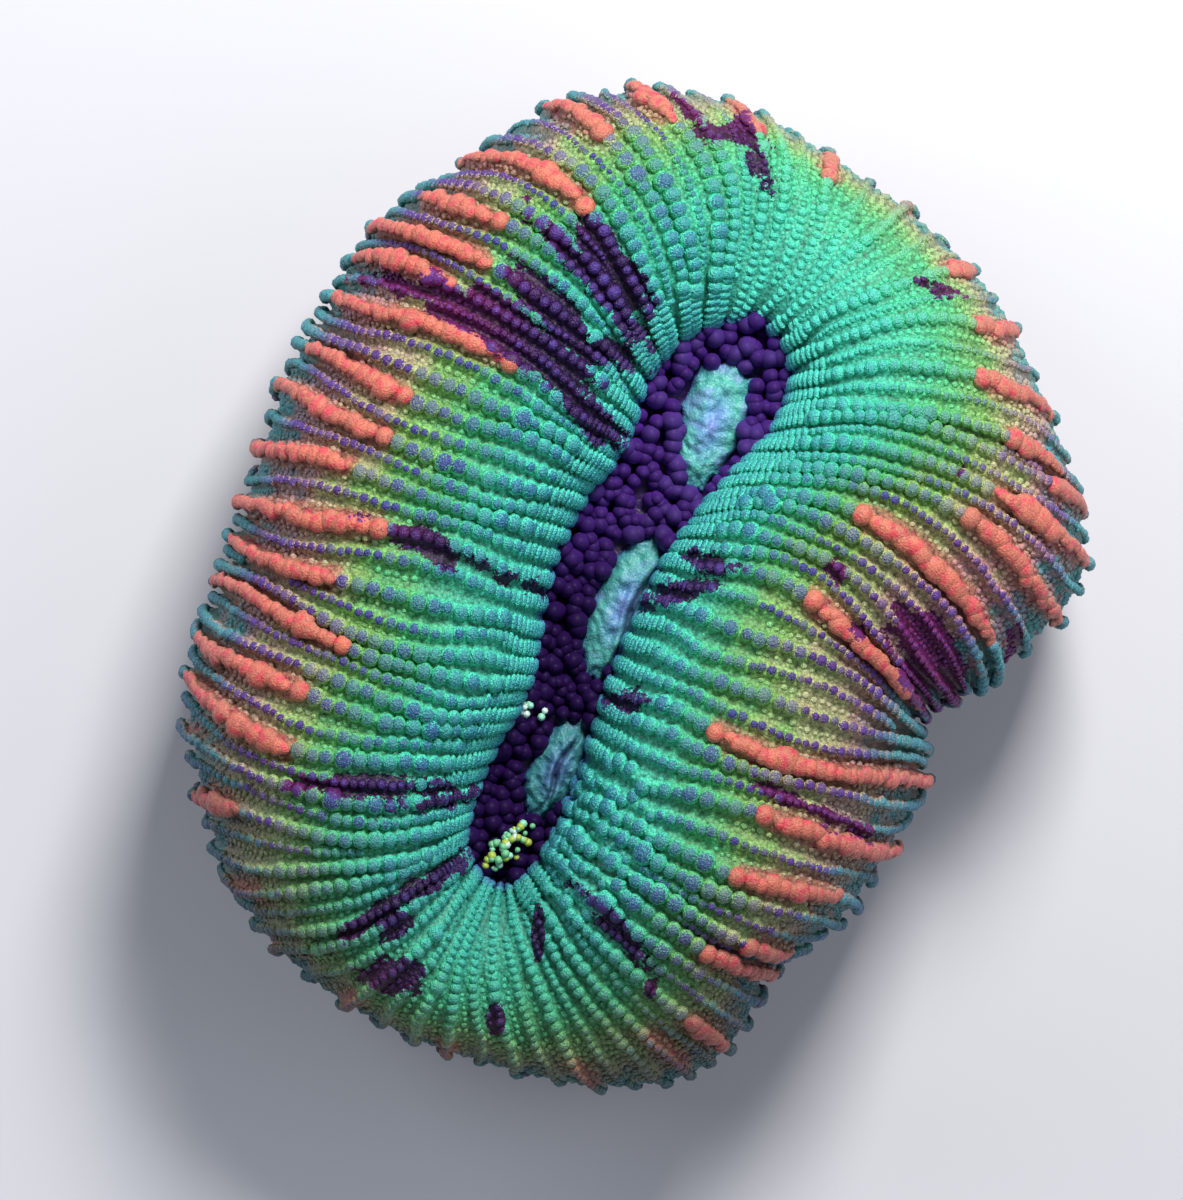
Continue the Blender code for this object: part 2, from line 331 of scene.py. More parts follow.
@dataclass(frozen=True)
class Fold:
    """The smooth form of the flesh: a ring folded round the valley. Sizes in mm."""

    stations: tuple[Station, ...] = STATIONS
    north_end: float = 0.948
    south_end: float = 0.465
    crest_height: float = 44.0
    north_saddle: float = 8.0
    south_saddle: float = 10.5
    floor_height: float = 29.0
    floor_slope: float = 0.08
    rim_height: float = 20.0
    hem_height: float = 6.0
    tuck_height: float = 8.5
    crest_share: float = 0.38
    rim_share: float = 0.975
    hem_share: float = 0.85
    tuck_share: float = 0.76
    foot_share: float = 0.64
    fullness: float = 0.88

    def _curve(self, points: Sequence[tuple[float, float]], around: Array) -> Array:
        """Read a smooth closed curve through evenly spaced points.

        Args:
            points: Points in plan, the curve's way round.
            around: Share of the way round.

        Returns:
            Points of two columns.
        """
        knots = np.asarray(points, float)
        place = np.mod(around, 1.0) * len(knots)
        index = np.floor(place).astype(int)
        t = (place - index)[:, None]
        before, here, after, beyond = (knots[(index + k) % len(knots)] for k in (-1, 0, 1, 2))
        return 0.5 * (
            2 * here
            + (after - before) * t
            + (2 * before - 5 * here + 4 * after - beyond) * t**2
            + (3 * here - before - 3 * after + beyond) * t**3
        )

    def plan(self, around: Array, share: Array) -> Array:
        """Place a point of a row in plan.

        Args:
            around: Share of the way round the ring.
            share: 0 on the valley's edge, 1 on the rim.

        Returns:
            Points of two columns, in mm.
        """
        edge = self._curve([s.edge for s in self.stations], around)
        middle = self._curve([s.middle for s in self.stations], around)
        rim = self._curve([s.rim for s in self.stations], around)
        w = np.asarray(share, float)[:, None]
        return edge * (1 - w) * (1 - 2 * w) + middle * 4 * w * (1 - w) + rim * w * (2 * w - 1)

    def share(self, angle: Array) -> Array:
        """Share of the way to the rim.

        Args:
            angle: Section angles in degrees.

        Returns:
            Shares, 0 on the valley's edge and about 1 on the rim.
        """
        rise = np.radians(np.clip(angle, 0, 90))
        fall = np.radians(np.clip(angle - 90, 0, 90))
        turn = np.radians(np.clip(angle - 180, 0, 90))
        under = np.clip((angle - 270) / 90, 0, 1)
        inner = self.crest_share * (1 - np.cos(rise) ** self.fullness)
        outer = self.crest_share + (self.rim_share - self.crest_share) * np.sin(fall) ** self.fullness
        below = self.rim_share - (self.rim_share - self.hem_share) * (1 - np.cos(turn))
        tuck = np.interp(under, (0, 0.4, 1), (self.hem_share, self.tuck_share, self.foot_share))
        return np.select([angle > 270, angle > 180, angle > 90], [tuck, below, outer], inner)

    def _heights(self, around: Array, angle: Array) -> Array:
        """Height of the skin, without its slow unevenness.

        Args:
            around: Share of the way round the ring.
            angle: Section angles in degrees.

        Returns:
            Heights in mm.
        """
        rise = np.radians(np.clip(angle, 0, 90))
        fall = np.radians(np.clip(angle - 90, 0, 90))
        turn = np.radians(np.clip(angle - 180, 0, 90))
        under = np.clip((angle - 270) / 90, 0, 1)
        crest = self.crest_height - self.north_saddle * hump(around, self.north_end, 0.085)
        crest = crest - self.south_saddle * hump(around, self.south_end, 0.1)
        rim = self.rim_height + 4.0 * hump(around, 0.745, 0.04) - 3.0 * hump(around, 0.64, 0.05)
        floor = self.floor_at(self.plan(around, np.zeros_like(angle))[:, 1])
        inner = floor + (crest - floor) * np.sin(rise) ** self.fullness
        outer = rim + (crest - rim) * np.cos(fall) ** self.fullness
        below = rim - (rim - self.hem_height) * np.sin(turn)
        tuck = np.interp(under, (0, 0.4, 1), (self.hem_height, self.tuck_height, 0.0))
        return np.select([angle > 270, angle > 180, angle > 90], [tuck, below, outer], inner)

    def floor_at(self, y: Array) -> Array:
        """Height of the valley floor at a place along Y."""
        return self.floor_height + self.floor_slope * np.asarray(y)

    def skin(self, around: Array, angle: Array) -> Array:
        """Point of the smooth skin, in mm.

        Args:
            around: Share of the way round the ring.
            angle: Section angle: 0 valley edge, 90 crest, 180 rim, 270 hem, 360 foot.

        Returns:
            Points of three columns.
        """
        around = np.asarray(around, float)
        angle = np.asarray(angle, float)
        share = self.share(angle)
        turn = 2 * math.pi * around
        swell = share * (0.7 * np.sin(5 * turn + 0.6) + 0.5 * np.sin(9 * turn + 2.1 + 2.5 * share))
        lively = np.sin(np.radians(np.clip(angle, 0, 180)))
        heights = self._heights(around, angle) + swell * lively
        return np.column_stack([self.plan(around, share), heights])

    def frame_at(self, around: Array, angle: Array) -> tuple[Array, Array]:
        """Directions on the smooth skin.

        Args:
            around: Share of the way round the ring.
            angle: Section angles in degrees.

        Returns:
            Unit tangents outwards along the row, and unit normals.
        """
        step = 1e-4
        round_way = self.skin(around + step, angle) - self.skin(around - step, angle)
        ahead = self.skin(around, np.clip(angle + 1, 0, 360))
        behind = self.skin(around, np.clip(angle - 1, 0, 360))
        along = ahead - behind
        along /= np.linalg.norm(along, axis=1)[:, None]
        normal = np.cross(along, round_way)
        normal /= np.linalg.norm(normal, axis=1)[:, None]
        return along, normal


@dataclass(frozen=True)
class Band:
    """An orange stretch of one row, from a start to an end of its share, and how hot its colour is."""

    around: float
    start: float
    end: float
    heat: float


# The orange stretches, in order round the ring
BANDS = (
    Band(0.001, 0.74, 0.97, 0.5),
    Band(0.033, 0.70, 0.96, 0.7),
    Band(0.067, 0.48, 0.97, 0.4),
    Band(0.093, 0.58, 0.88, 0.5),
    Band(0.109, 0.53, 0.97, 0.6),
    Band(0.121, 0.63, 0.94, 0.3),
    Band(0.136, 0.40, 0.94, 1.0),
    Band(0.157, 0.62, 0.93, 0.3),
    Band(0.173, 0.60, 0.97, 0.7),
    Band(0.190, 0.66, 0.98, 0.4),
    Band(0.208, 0.50, 0.99, 0.6),
    Band(0.224, 0.62, 0.96, 0.4),
    Band(0.241, 0.58, 0.98, 0.7),
    Band(0.260, 0.63, 0.96, 0.3),
    Band(0.276, 0.58, 0.96, 0.4),
    Band(0.296, 0.90, 0.96, 0.05),
    Band(0.317, 0.80, 0.97, 0.1),
    Band(0.342, 0.80, 0.95, 0.0),
    Band(0.370, 0.90, 0.97, 0.0),
    Band(0.397, 0.80, 0.96, 0.0),
    Band(0.434, 0.84, 0.97, 0.0),
    Band(0.484, 0.82, 0.96, 0.0),
    Band(0.518, 0.74, 0.95, 0.0),
    Band(0.541, 0.74, 0.95, 0.1),
    Band(0.586, 0.60, 0.97, 0.6),
    Band(0.598, 0.72, 0.90, 0.4),
    Band(0.621, 0.49, 0.84, 0.5),
    Band(0.637, 0.52, 0.99, 0.4),
    Band(0.655, 0.33, 0.99, 0.8),
    Band(0.693, 0.46, 0.93, 0.9),
    Band(0.723, 0.41, 0.90, 1.0),
    Band(0.748, 0.60, 0.97, 0.7),
    Band(0.771, 0.66, 0.96, 0.6),
    Band(0.793, 0.84, 0.99, 1.5),
    Band(0.802, 0.73, 0.90, 0.4),
    Band(0.828, 0.67, 0.95, 0.9),
    Band(0.853, 0.76, 0.97, 0.6),
    Band(0.874, 0.81, 0.96, 0.3),
    Band(0.900, 0.93, 0.97, 0.0),
    Band(0.930, 0.80, 0.97, 0.7),
    Band(0.965, 0.78, 0.95, 0.3),
)


@dataclass(frozen=True)
class Spot:
    """An ellipse in plan, in mm, turned by degrees from +X."""

    x: float
    y: float
    length: float
    width: float
    turn: float = 0.0

    def depth(self, plan: Array) -> Array:
        """How far inside the ellipse points lie.

        Args:
            plan: Points in plan, in mm.

        Returns:
            Depths in mm across the ellipse; negative outside.
        """
        c, s = cos_sin(self.turn)
        dx = plan[:, 0] - self.x
        dy = plan[:, 1] - self.y
        along = (dx * c + dy * s) / self.length
        across = (dy * c - dx * s) / self.width
        return self.width * (1 - np.hypot(along, across))


# Dark patches of the flesh
STAINS = (
    Spot(-2.6, 34.8, 6.0, 2.3, -52),
    Spot(-5.0, 33.6, 7.2, 1.1, -48),
    Spot(-8.6, 29.6, 6.0, 1.7, -50),
    Spot(-12.3, 27.0, 9.2, 2.4, -34),
    Spot(-19.5, 30.8, 3.6, 1.9, -30),
    Spot(-21.6, 31.9, 6.2, 0.9, -15),
    Spot(-9.5, 22.4, 1.8, 0.9, -30),
    Spot(-4.6, 18.5, 4.0, 1.3, -42),
    Spot(-2.2, 25.6, 2.4, 0.6, -28),
    Spot(-22.5, 5.0, 3.6, 1.3, -25),
    Spot(-15.4, 2.0, 5.0, 0.35, -22),
    Spot(-28.3, -21.2, 6.0, 1.0, -4),
    Spot(-20.6, -22.9, 3.0, 0.4, 12),
    Spot(-24.8, -32.9, 7.8, 0.8, 31),
    Spot(-25.3, -36.3, 1.8, 1.0, 20),
    Spot(-26.4, -42.0, 3.0, 1.9, 0),
    Spot(-15.2, -46.8, 0.8, 1.8, 0),
    Spot(-10.6, -37.2, 0.7, 3.0, 0),
    Spot(-2.2, -36.9, 3.6, 0.8, -45),
    Spot(1.7, -43.5, 0.6, 1.3, 0),
    Spot(8.0, 2.8, 2.0, 1.0, -20),
    Spot(5.0, 0.0, 4.4, 0.9, 18),
    Spot(-1.4, -12.3, 1.8, 1.0, 0),
    Spot(21.2, 1.9, 1.0, 0.7, 0),
    Spot(31.9, -6.6, 6.0, 2.6, -54),
    Spot(31.0, -11.2, 4.6, 1.0, -58),
    Spot(41.3, -5.5, 0.8, 2.0, -10),
    Spot(11.6, 50.0, 1.5, 1.7, 0),
    Spot(13.4, 46.8, 2.7, 0.9, -68),
    Spot(5.3, 52.6, 1.7, 0.7, -50),
    Spot(8.5, 49.7, 1.7, 0.7, -10),
    Spot(31.2, 33.4, 0.4, 0.3, -40),
    Spot(33.2, 32.2, 0.4, 0.1, 0),
    Spot(35.2, 13.0, 0.2, 0.7, -30),
    Spot(24.0, -4.4, 1.1, 0.7, 0),
    Spot(19.8, -24.0, 4.6, 0.7, -22),
)
# Calm flesh with low rows
QUIET = (Spot(-16.0, -37.5, 6.0, 6.0), Spot(16.5, 35.0, 9.5, 5.5, 42))
# Flesh where the beads are strewn about
PEBBLED = (Spot(-3.6, -26.5, 5.5, 9.5, -24),)


def deepest(spots: Sequence[Spot], plan: Array) -> Array:
    """Largest depth inside any of the spots, in mm."""
    return np.max([spot.depth(plan) for spot in spots], axis=0)


def stain_depth(plan: Array, angle: Array) -> Array:
    """Depth inside the stains, kept between clear flesh and a full stain.

    Args:
        plan: Points in plan, in mm.
        angle: Their section angles; below the rim nothing is stained.

    Returns:
        Depths in mm.
    """
    depth = np.clip(deepest(STAINS, plan), CLEAR_DEPTH, FULL_DEPTH)
    return np.where(angle < STAINED_UNTIL, depth, CLEAR_DEPTH)


def coarseness(around: Array) -> Array:
    """Size of beads and rows round the ring.

    Args:
        around: Share of the way round.

    Returns:
        Sizes, 1 where they are coarsest.
    """
    turns = (0.0, 0.04, 0.1, 0.3, 0.38, 0.48, 0.58, 0.72, 0.79, 0.85, 0.95, 0.985, 1.0)
    sizes = (0.94, 0.98, 1.0, 1.0, 0.78, 0.66, 0.98, 0.96, 0.86, 0.72, 0.62, 0.8, 0.94)
    return np.interp(np.mod(around, 1.0), turns, sizes)


@dataclass(frozen=True)
class Row:
    """One main row of beads."""

    around: float
    leading: bool
    band: Optional[Band] = None

    def has_orange(self, share: float) -> bool:
        """True on the orange stretch, unless that is only a tint."""
        return self.band is not None and self.band.heat > 0.08 and self.band.start <= share <= self.band.end


@dataclass
class Places:
    """Points of the finished skin, with what is known there."""

    point: Array
    along: Array
    normal: Array
    room: Array
    share: Array
    values: dict[str, Array]


@dataclass
class RowedSkin:
    """The fold with its rows standing up from it. Sizes in mm."""

    fold: Fold = field(default_factory=Fold)
    pitch: float = 2.5
    tall: float = 1.05
    low: float = 0.78
    fine: float = 0.22
    groove: float = 0.62
    glow_reach: float = 1.6
    wander: float = 0.0013
    rows: list[Row] = field(default_factory=list)

    def __post_init__(self) -> None:
        """Set the rows out: every band's row, and plain rows to fill the gaps."""
        for index, band in enumerate(BANDS):
            after = BANDS[(index + 1) % len(BANDS)].around
            gap = (after - band.around) % 1.0
            way = band.around + gap * np.linspace(0, 1, 30)
            line = self.fold.plan(way, np.full(30, 0.58))
            length = np.linalg.norm(np.diff(line, axis=0), axis=1).sum()
            between = max(1, round(length / self.pitch) - 1)
            self.rows.append(Row(band.around, True, band))
            for k in range(1, between + 1):
                place = (band.around + gap * k / (between + 1)) % 1.0
                self.rows.append(Row(place, k % 2 == 0))
        start = self.rows[0].around
        self.knots = np.array([(row.around - start) % 1.0 + start for row in self.rows] + [start + 1.0])
        self.leads = np.array([row.leading for row in self.rows])
        self.starts = np.array([row.band.start if row.band else 2.0 for row in self.rows])
        self.ends = np.array([row.band.end if row.band else 2.0 for row in self.rows])
        self.heats = np.array([row.band.heat if row.band else 0.0 for row in self.rows])

    @property
    def count(self) -> int:
        """How many main rows there are."""
        return len(self.rows)

    def around(self, row: Array, angle: Array) -> Array:
        """Share of the way round at a row number, with the rows' slow wander along the section.

        Args:
            row: Row numbers; fractions lie between rows.
            angle: Section angles in degrees.

        Returns:
            Shares of the way round the ring.
        """
        turns = np.floor(row / self.count)
        straight = np.interp(row - turns * self.count, np.arange(self.count + 1), self.knots) + turns
        phase = 2 * math.pi * row / self.count
        wave = np.sin(13 * phase + 0.055 * angle) + 0.6 * np.sin(21 * phase - 0.09 * angle + 1.0)
        return straight + self.wander * wave * smoothstep(20, 70, angle)

    def room(self, row: Array, angle: Array) -> Array:
        """Distance from one main row to the next.

        Args:
            row: Row numbers.
            angle: Section angles in degrees.

        Returns:
            Distances in mm.
        """
        ahead = self.fold.skin(self.around(row + 0.5, angle), angle)
        behind = self.fold.skin(self.around(row - 0.5, angle), angle)
        return np.linalg.norm(ahead - behind, axis=1)

    def _banded(self, index: Array, share: Array, angle: Array) -> Array:
        """How far inside its orange band each point of a row lies, 0 to 1."""
        inside = np.minimum(share - self.starts[index], 0.9 * (self.ends[index] - share))
        return smoothstep(-0.03, 0.05, inside) * (angle < 190)

    def _glow(self, row: Array, near: Array, room: Array, share: Array, angle: Array) -> tuple[Array, Array]:
        """Orange that a place takes from its own row and the rows beside it.

        Args:
            row: Row numbers.
            near: The nearest main rows.
            room: Distance from row to row, in mm.
            share: Share of the way to the rim.
            angle: Section angles in degrees.

        Returns:
            How strong the orange is, 0 to 1, and how hot.
        """
        glow = np.zeros_like(row)
        heat = np.zeros_like(row)
        for side in (-1, 0, 1):
            beside = (near + side) % self.count
            away = (row - near - side) * room / self.glow_reach
            lit = self._banded(beside, share, angle) * np.exp(-(away**2))
            start = self.starts[beside]
            past = np.clip((share - start) / (self.ends[beside] - start + 1e-6), 0, 1)
            heat = np.where(lit > glow, self.heats[beside] / 1.5 * (1.2 - 0.6 * past), heat)
            glow = np.maximum(glow, lit)
        return glow, heat

    def places(self, row: Array, angle: Array) -> Places:
        """Work out points of the skin with its rows.

        Args:
            row: Row numbers; fractions lie between rows.
            angle: Section angles in degrees.

        Returns:
            The points and what is known there.
        """
        row = np.asarray(row, float)
        angle = np.asarray(angle, float)
        around = self.around(row, angle)
        smooth = self.fold.skin(around, angle)
        along, normal = self.fold.frame_at(around, angle)
        room = self.room(row, angle)
        share = self.fold.share(angle)
        near = np.round(row).astype(int)
        index = near % self.count
        off = np.abs(row - near)
        leading = self.leads[index]
        follow = smoothstep(*FOLLOW_ROOM, room)
        present = np.where(leading, 1.0, follow)
        width = np.minimum(0.95, 0.38 * room * np.where(leading, 2 - follow, 1.0))
        banded = self._banded(index, share, angle)
        bulk = coarseness(around)
        height = (np.where(leading, self.tall, self.low) + 0.45 * banded) * (0.3 + 0.7 * bulk)
        height = height * (1 + 0.5 * smoothstep(95, 140, angle) * smoothstep(0.76, 0.98, bulk))
        width = width * (1 + 0.35 * banded) * (1 - 0.35 * smoothstep(110, 165, angle))
        calm = 1 - 0.7 * smoothstep(0.0, 2.5, deepest(QUIET, smooth[:, :2])) * (angle < 150)
        main = present * np.exp(-((off * room / width) ** 2))
        glow, heat = self._glow(row, near, room, share, angle)
        small = smoothstep(2.1, 2.8, room) * smoothstep(95, 120, angle)
        small = small * np.exp(-(((0.5 - off) * room / 0.42) ** 2))
        fade = np.interp(angle, (0, 12, 34, 200, 262, 285, 300, 360), (0.1, 0.5, 1, 1, 0.6, 0.25, 0.0, 0.0))
        lift = (height * main + self.fine * small - self.groove) * fade * calm
        ribs = 0.22 * np.cos(2 * math.pi * row * 2) * np.interp(angle, (290, 305, 352, 358), (0, 1, 1, 0))
        point = smooth + normal * (lift + ribs)[:, None]
        # Painted shade: the south-west and south flanks, which face away from the key lamp, are painted
        # darker, most of all out towards the rim.
        dusk = np.maximum(hump(around, 0.38, 0.09), hump(around, 0.5, 0.13))
        values = {
            "zone": zone(around, share, angle),
            "warmth": warmth(around),
            # How far a row stands up here; the flesh is painted darker where it is low, as painted shade in
            # the grooves.
            "ridge": np.maximum(main, 0.5 * small),
            "glow": glow,
            "heat": heat,
            "dusk": dusk * (0.4 + 0.6 * smoothstep(0.3, 0.95, share)),
        }
        return Places(point, along, normal, room, share, values)


def warmth(around: Array) -> Array:
    """How far the outer flesh turns yellow and tan.

    Args:
        around: Share of the way round the ring.

    Returns:
        Warmth, 0 to 1.
    """
    turns = (0.0, 0.06, 0.14, 0.27, 0.36, 0.45, 0.52, 0.60, 0.68, 0.72, 0.79, 0.84, 0.90, 0.95, 1.0)
    heats = (0.6, 0.7, 0.85, 0.8, 0.45, 0.35, 0.55, 0.7, 0.8, 1.0, 0.95, 0.6, 0.3, 0.3, 0.6)
    return np.interp(np.mod(around, 1.0), turns, heats)


def zone(around: Array, share: Array, angle: Array) -> Array:
    """Place of a point among the flesh's colours.

    Args:
        around: Share of the way round the ring.
        share: Share of the way to the rim.
        angle: Section angles in degrees.

    Returns:
        0 at the valley, 0.5 where teal gives way, 1 on the rim, 2 under the hem.
    """
    turns = (0.0, 0.05, 0.12, 0.30, 0.38, 0.46, 0.54, 0.62, 0.68, 0.74, 0.80, 0.84, 0.88, 0.93, 0.97, 1.0)
    reaches = (0.66, 0.54, 0.46, 0.5, 0.66, 0.74, 0.6, 0.42, 0.33, 0.38, 0.54, 0.66, 0.74, 0.8, 0.76, 0.66)
    reach = np.interp(np.mod(around, 1.0), turns, reaches)
    inner = 0.5 * share / reach
    outer = 0.5 + 0.5 * (share - reach) / (0.975 - reach)
    upper = np.where(share < reach, inner, outer)
    return np.where(angle > 180, 1 + np.clip((angle - 180) / 90, 0, 1), upper)


class BeadKind(Enum):
    """The kinds of bead, each joined into a piece of its own."""

    RIB = "rib_beads"
    GREEN = "green_beads"
    ORANGE = "orange_crests"
    VIOLET = "violet_beads"
    FINE = "fine_beads"
    HEM = "hem_beads"


@dataclass(frozen=True)
class BeadForm:
    """How round a kind of bead is made, the slot of the finish it takes, and how strong its tip is."""

    sides: int
    rings: int
    slot: str
    tipped: float = 1.0


FORMS = {
    BeadKind.RIB: BeadForm(8, 4, "green_beads"),
    BeadKind.GREEN: BeadForm(9, 4, "green_beads"),
    BeadKind.ORANGE: BeadForm(10, 5, "orange_crests"),
    BeadKind.VIOLET: BeadForm(8, 4, "violet_beads", 1.25),
    BeadKind.FINE: BeadForm(6, 3, "violet_beads"),
    BeadKind.HEM: BeadForm(6, 4, "violet_beads", 0.6),
}


@dataclass
class Bead:
    """One bead on a row: where, its radii in mm, how far it is sunk, its chance, and the step on."""

    kind: BeadKind
    row: float
    angle: float
    radii: tuple[float, float, float]
    sunk: float
    luck: float
    step: float = 0.0
    glow: float = 0.0


@dataclass(frozen=True)
class Seat:
    """A free place on a main row, and the beads that suit it.

    Attributes:
        row: The row it is on.
        angle: Section angle in degrees.
        wide: Room for the row, in mm.
        share: Share of the way to the rim.
        zone: Place among the flesh's colours.
        size: Coarseness here.
        lower: Factor of beads on the rows between the leading ones.
        melt: How far orange lumps run together, 0 to 1.
        quiet: Whether the flesh is calm here.
        pebbled: Whether beads are strewn about here.
        luck: A chance of 0 to 1.
        other: Another.
        third: A third.
    """

    row: Row
    angle: float
    wide: float
    share: float
    zone: float
    size: float
    lower: float
    melt: float
    quiet: bool
    pebbled: bool
    luck: float
    other: float
    third: float

    def _bead(
        self,
        kind: BeadKind,
        radii: tuple[float, float, float],
        sunk: float,
        step: float,
        wobble: float = 0.1,
    ) -> Bead:
        """Make a bead here.

        Args:
            kind: Its kind.
            radii: Along the row, across it and out of the skin, in mm.
            sunk: Share of its height below the skin.
            step: How far on the next bead sits, in mm.
            wobble: How far it may leave the row's line, in rows.

        Returns:
            The bead, with its row counted from this one.
        """
        aside = wobble * (self.other - 0.5)
        return Bead(kind, aside, self.angle, radii, sunk, self.third, step)

    def first_orange(self) -> Bead:
        """Big ball at the inner end of an orange stretch."""
        across = (1.12 + 0.3 * self.other) * min(1.0, self.wide / 2.0)
        return self._bead(BeadKind.ORANGE, (across * 0.95, across, across * 0.8), 0.3, across * 1.45)

    def orange(self) -> Bead:
        """Lump of an orange crest, largest a third of the way along it.

        Returns:
            The bead.
        """
        past = (self.share - self.row.band.start) / (self.row.band.end - self.row.band.start)
        swell = np.interp(past, (0, 0.14, 0.32, 0.55, 0.8, 1.0), (0.6, 0.96, 1.24, 1.05, 0.82, 0.6))
        swell *= 0.78 + 0.36 * self.luck + 0.25 * (self.luck > 0.9)
        across = swell * min(1.0, self.wide / 2.0)
        length = across * (0.9 + 0.3 * self.other + 0.3 * self.melt)
        radii = (length, across, across * (0.72 - 0.1 * self.melt))
        step = across * (0.85 + 0.4 * self.third)
        return self._bead(BeadKind.ORANGE, radii, 0.5 + 0.1 * self.melt, step, 0.2)

    def hem(self) -> Bead:
        """Small round bead below the rim."""
        across = 0.5 + 0.2 * self.luck
        return self._bead(BeadKind.HEM, (across, across, across), 0.0, across * 1.9)

    def rib(self) -> Bead:
        """Short rib across the row, by the valley or on calm flesh."""
        across = min(1.0, 0.5 * self.wide) * (0.9 + 0.2 * self.luck) * (0.55 if self.quiet else 1.0)
        return self._bead(BeadKind.RIB, (0.44, across, 0.46), 0.2, 0.8 + 0.12 * self.other)

    def green(self) -> Bead:
        """Round bead, now and then a big one, and strewn about where the flesh is pebbled.

        Returns:
            The bead.
        """
        across = float(np.clip(0.5 * self.wide, 0.5, 1.04)) * (0.82 + 0.32 * self.luck)
        across = across * self.lower * self.size
        if self.row.leading and 0.2 < self.zone < 0.5 and self.third > 0.84:
            across *= 1.22
        radii = (across * 0.95, across, across * 0.9)
        step = across * (1.42 + 0.2 * self.other)
        if not self.pebbled:
            return self._bead(BeadKind.GREEN, radii, 0.22, step)
        radii = tuple((0.7 + 0.6 * self.third) * radius for radius in radii)
        return self._bead(BeadKind.GREEN, radii, 0.22, step * 1.05, 0.6)

    def violet(self) -> Bead:
        """Small bead of the strings on the outer flesh.

        Returns:
            The bead.
        """
        across = 0.68 * (0.84 + 0.34 * self.luck) * min(1.0, self.lower + 0.06) * (0.5 + 0.5 * self.size)
        step = across * (1.62 + 0.25 * self.other)
        return self._bead(BeadKind.VIOLET, (across, across, across * 0.95), 0.1, step)


def add_object(
    name: str,
    mesh: bpy.types.Mesh,
    material: bpy.types.Material,
) -> bpy.types.Object:
    """Put a finished mesh in the scene as a piece of the coral.

    Args:
        name: The piece's name.
        mesh: Its mesh, in place.
        material: Its finish, unless the mesh has its own.

    Returns:
        The object.
    """
    made = bpy.data.objects.new(name, mesh)
    bpy.context.scene.collection.objects.link(made)
    if not mesh.materials:
        mesh.materials.append(material)
    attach(made, "root")
    return made


def put_values(mesh: bpy.types.Mesh, name: str, values: Array) -> None:
    """Keep a number or colour for each vertex on the mesh.

    Args:
        mesh: The mesh.
        name: The attribute's name.
        values: One number, or one colour of four columns, for each vertex.
    """
    kind, entry = ("FLOAT_COLOR", "color") if values.ndim == 2 else ("FLOAT", "value")
    layer = mesh.attributes.new(name, kind, "POINT")
    layer.data.foreach_set(entry, np.ascontiguousarray(values, np.float32).ravel())


def scatter_tree(shape: bpy.types.Object) -> bpy.types.GeometryNodeTree:
    """Geometry nodes that set a shape on every point of a mesh, turned and scaled as the point says.

    Args:
        shape: The object to copy.

    Returns:
        The node tree.
    """
    tree = bpy.data.node_groups.new("spread_shapes", "GeometryNodeTree")
    tree.interface.new_socket("Geometry", in_out="INPUT", socket_type="NodeSocketGeometry")
    tree.interface.new_socket("Geometry", in_out="OUTPUT", socket_type="NodeSocketGeometry")
    start = tree.nodes.new("NodeGroupInput")
    end = tree.nodes.new("NodeGroupOutput")
    source = tree.nodes.new("GeometryNodeObjectInfo")
    source.inputs["Object"].default_value = shape
    place = tree.nodes.new("GeometryNodeInstanceOnPoints")
    whole = tree.nodes.new("GeometryNodeRealizeInstances")
    for name, kind, port in (("turn", "QUATERNION", "Rotation"), ("radii", "FLOAT_VECTOR", "Scale")):
        reader = tree.nodes.new("GeometryNodeInputNamedAttribute")
        reader.data_type = kind
        reader.inputs["Name"].default_value = name
        tree.links.new(reader.outputs["Attribute"], place.inputs[port])
    tree.links.new(start.outputs[0], place.inputs["Points"])
    tree.links.new(source.outputs["Geometry"], place.inputs["Instance"])
    tree.links.new(place.outputs["Instances"], whole.inputs["Geometry"])
    tree.links.new(whole.outputs["Geometry"], end.inputs[0])
    return tree


def spread_shapes(
    pattern: bpy.types.Mesh,
    centres: Array,
    turns: Array,
    radii: Array,
    tints: dict[str, Array],
) -> bpy.types.Mesh:
    """Set copies of a shape at points, and join them into one mesh.

    Args:
        pattern: The shape, of radius 1.
        centres: Where each copy goes, in metres.
        turns: One quaternion for each copy.
        radii: Three radii for each copy, in metres.
        tints: Colours or numbers kept on every vertex of a copy.

    Returns:
        The joined mesh.
    """
    seeds = bmesh.new()
    for centre in centres:
        seeds.verts.new(centre)
    points = bpy.data.meshes.new("points")
    seeds.to_mesh(points)
    seeds.free()
    turn_layer = points.attributes.new("turn", "QUATERNION", "POINT")
    turn_layer.data.foreach_set("value", turns.astype(np.float32).ravel())
    radius_layer = points.attributes.new("radii", "FLOAT_VECTOR", "POINT")
    radius_layer.data.foreach_set("vector", radii.astype(np.float32).ravel())
    for name, values in tints.items():
        put_values(points, name, values)
    shape = bpy.data.objects.new("pattern", pattern)
    holder = bpy.data.objects.new("holder", points)
    bpy.context.scene.collection.objects.link(holder)
    tree = scatter_tree(shape)
    holder.modifiers.new("spread", "NODES").node_group = tree
    graph = bpy.context.evaluated_depsgraph_get()
    joined = bpy.data.meshes.new_from_object(holder.evaluated_get(graph))
    for spare in ("turn", "radii"):
        if spare in joined.attributes:
            joined.attributes.remove(joined.attributes[spare])
    bpy.data.objects.remove(holder)
    bpy.data.objects.remove(shape)
    bpy.data.node_groups.remove(tree)
    joined.materials.clear()
    joined.shade_smooth()
    return joined


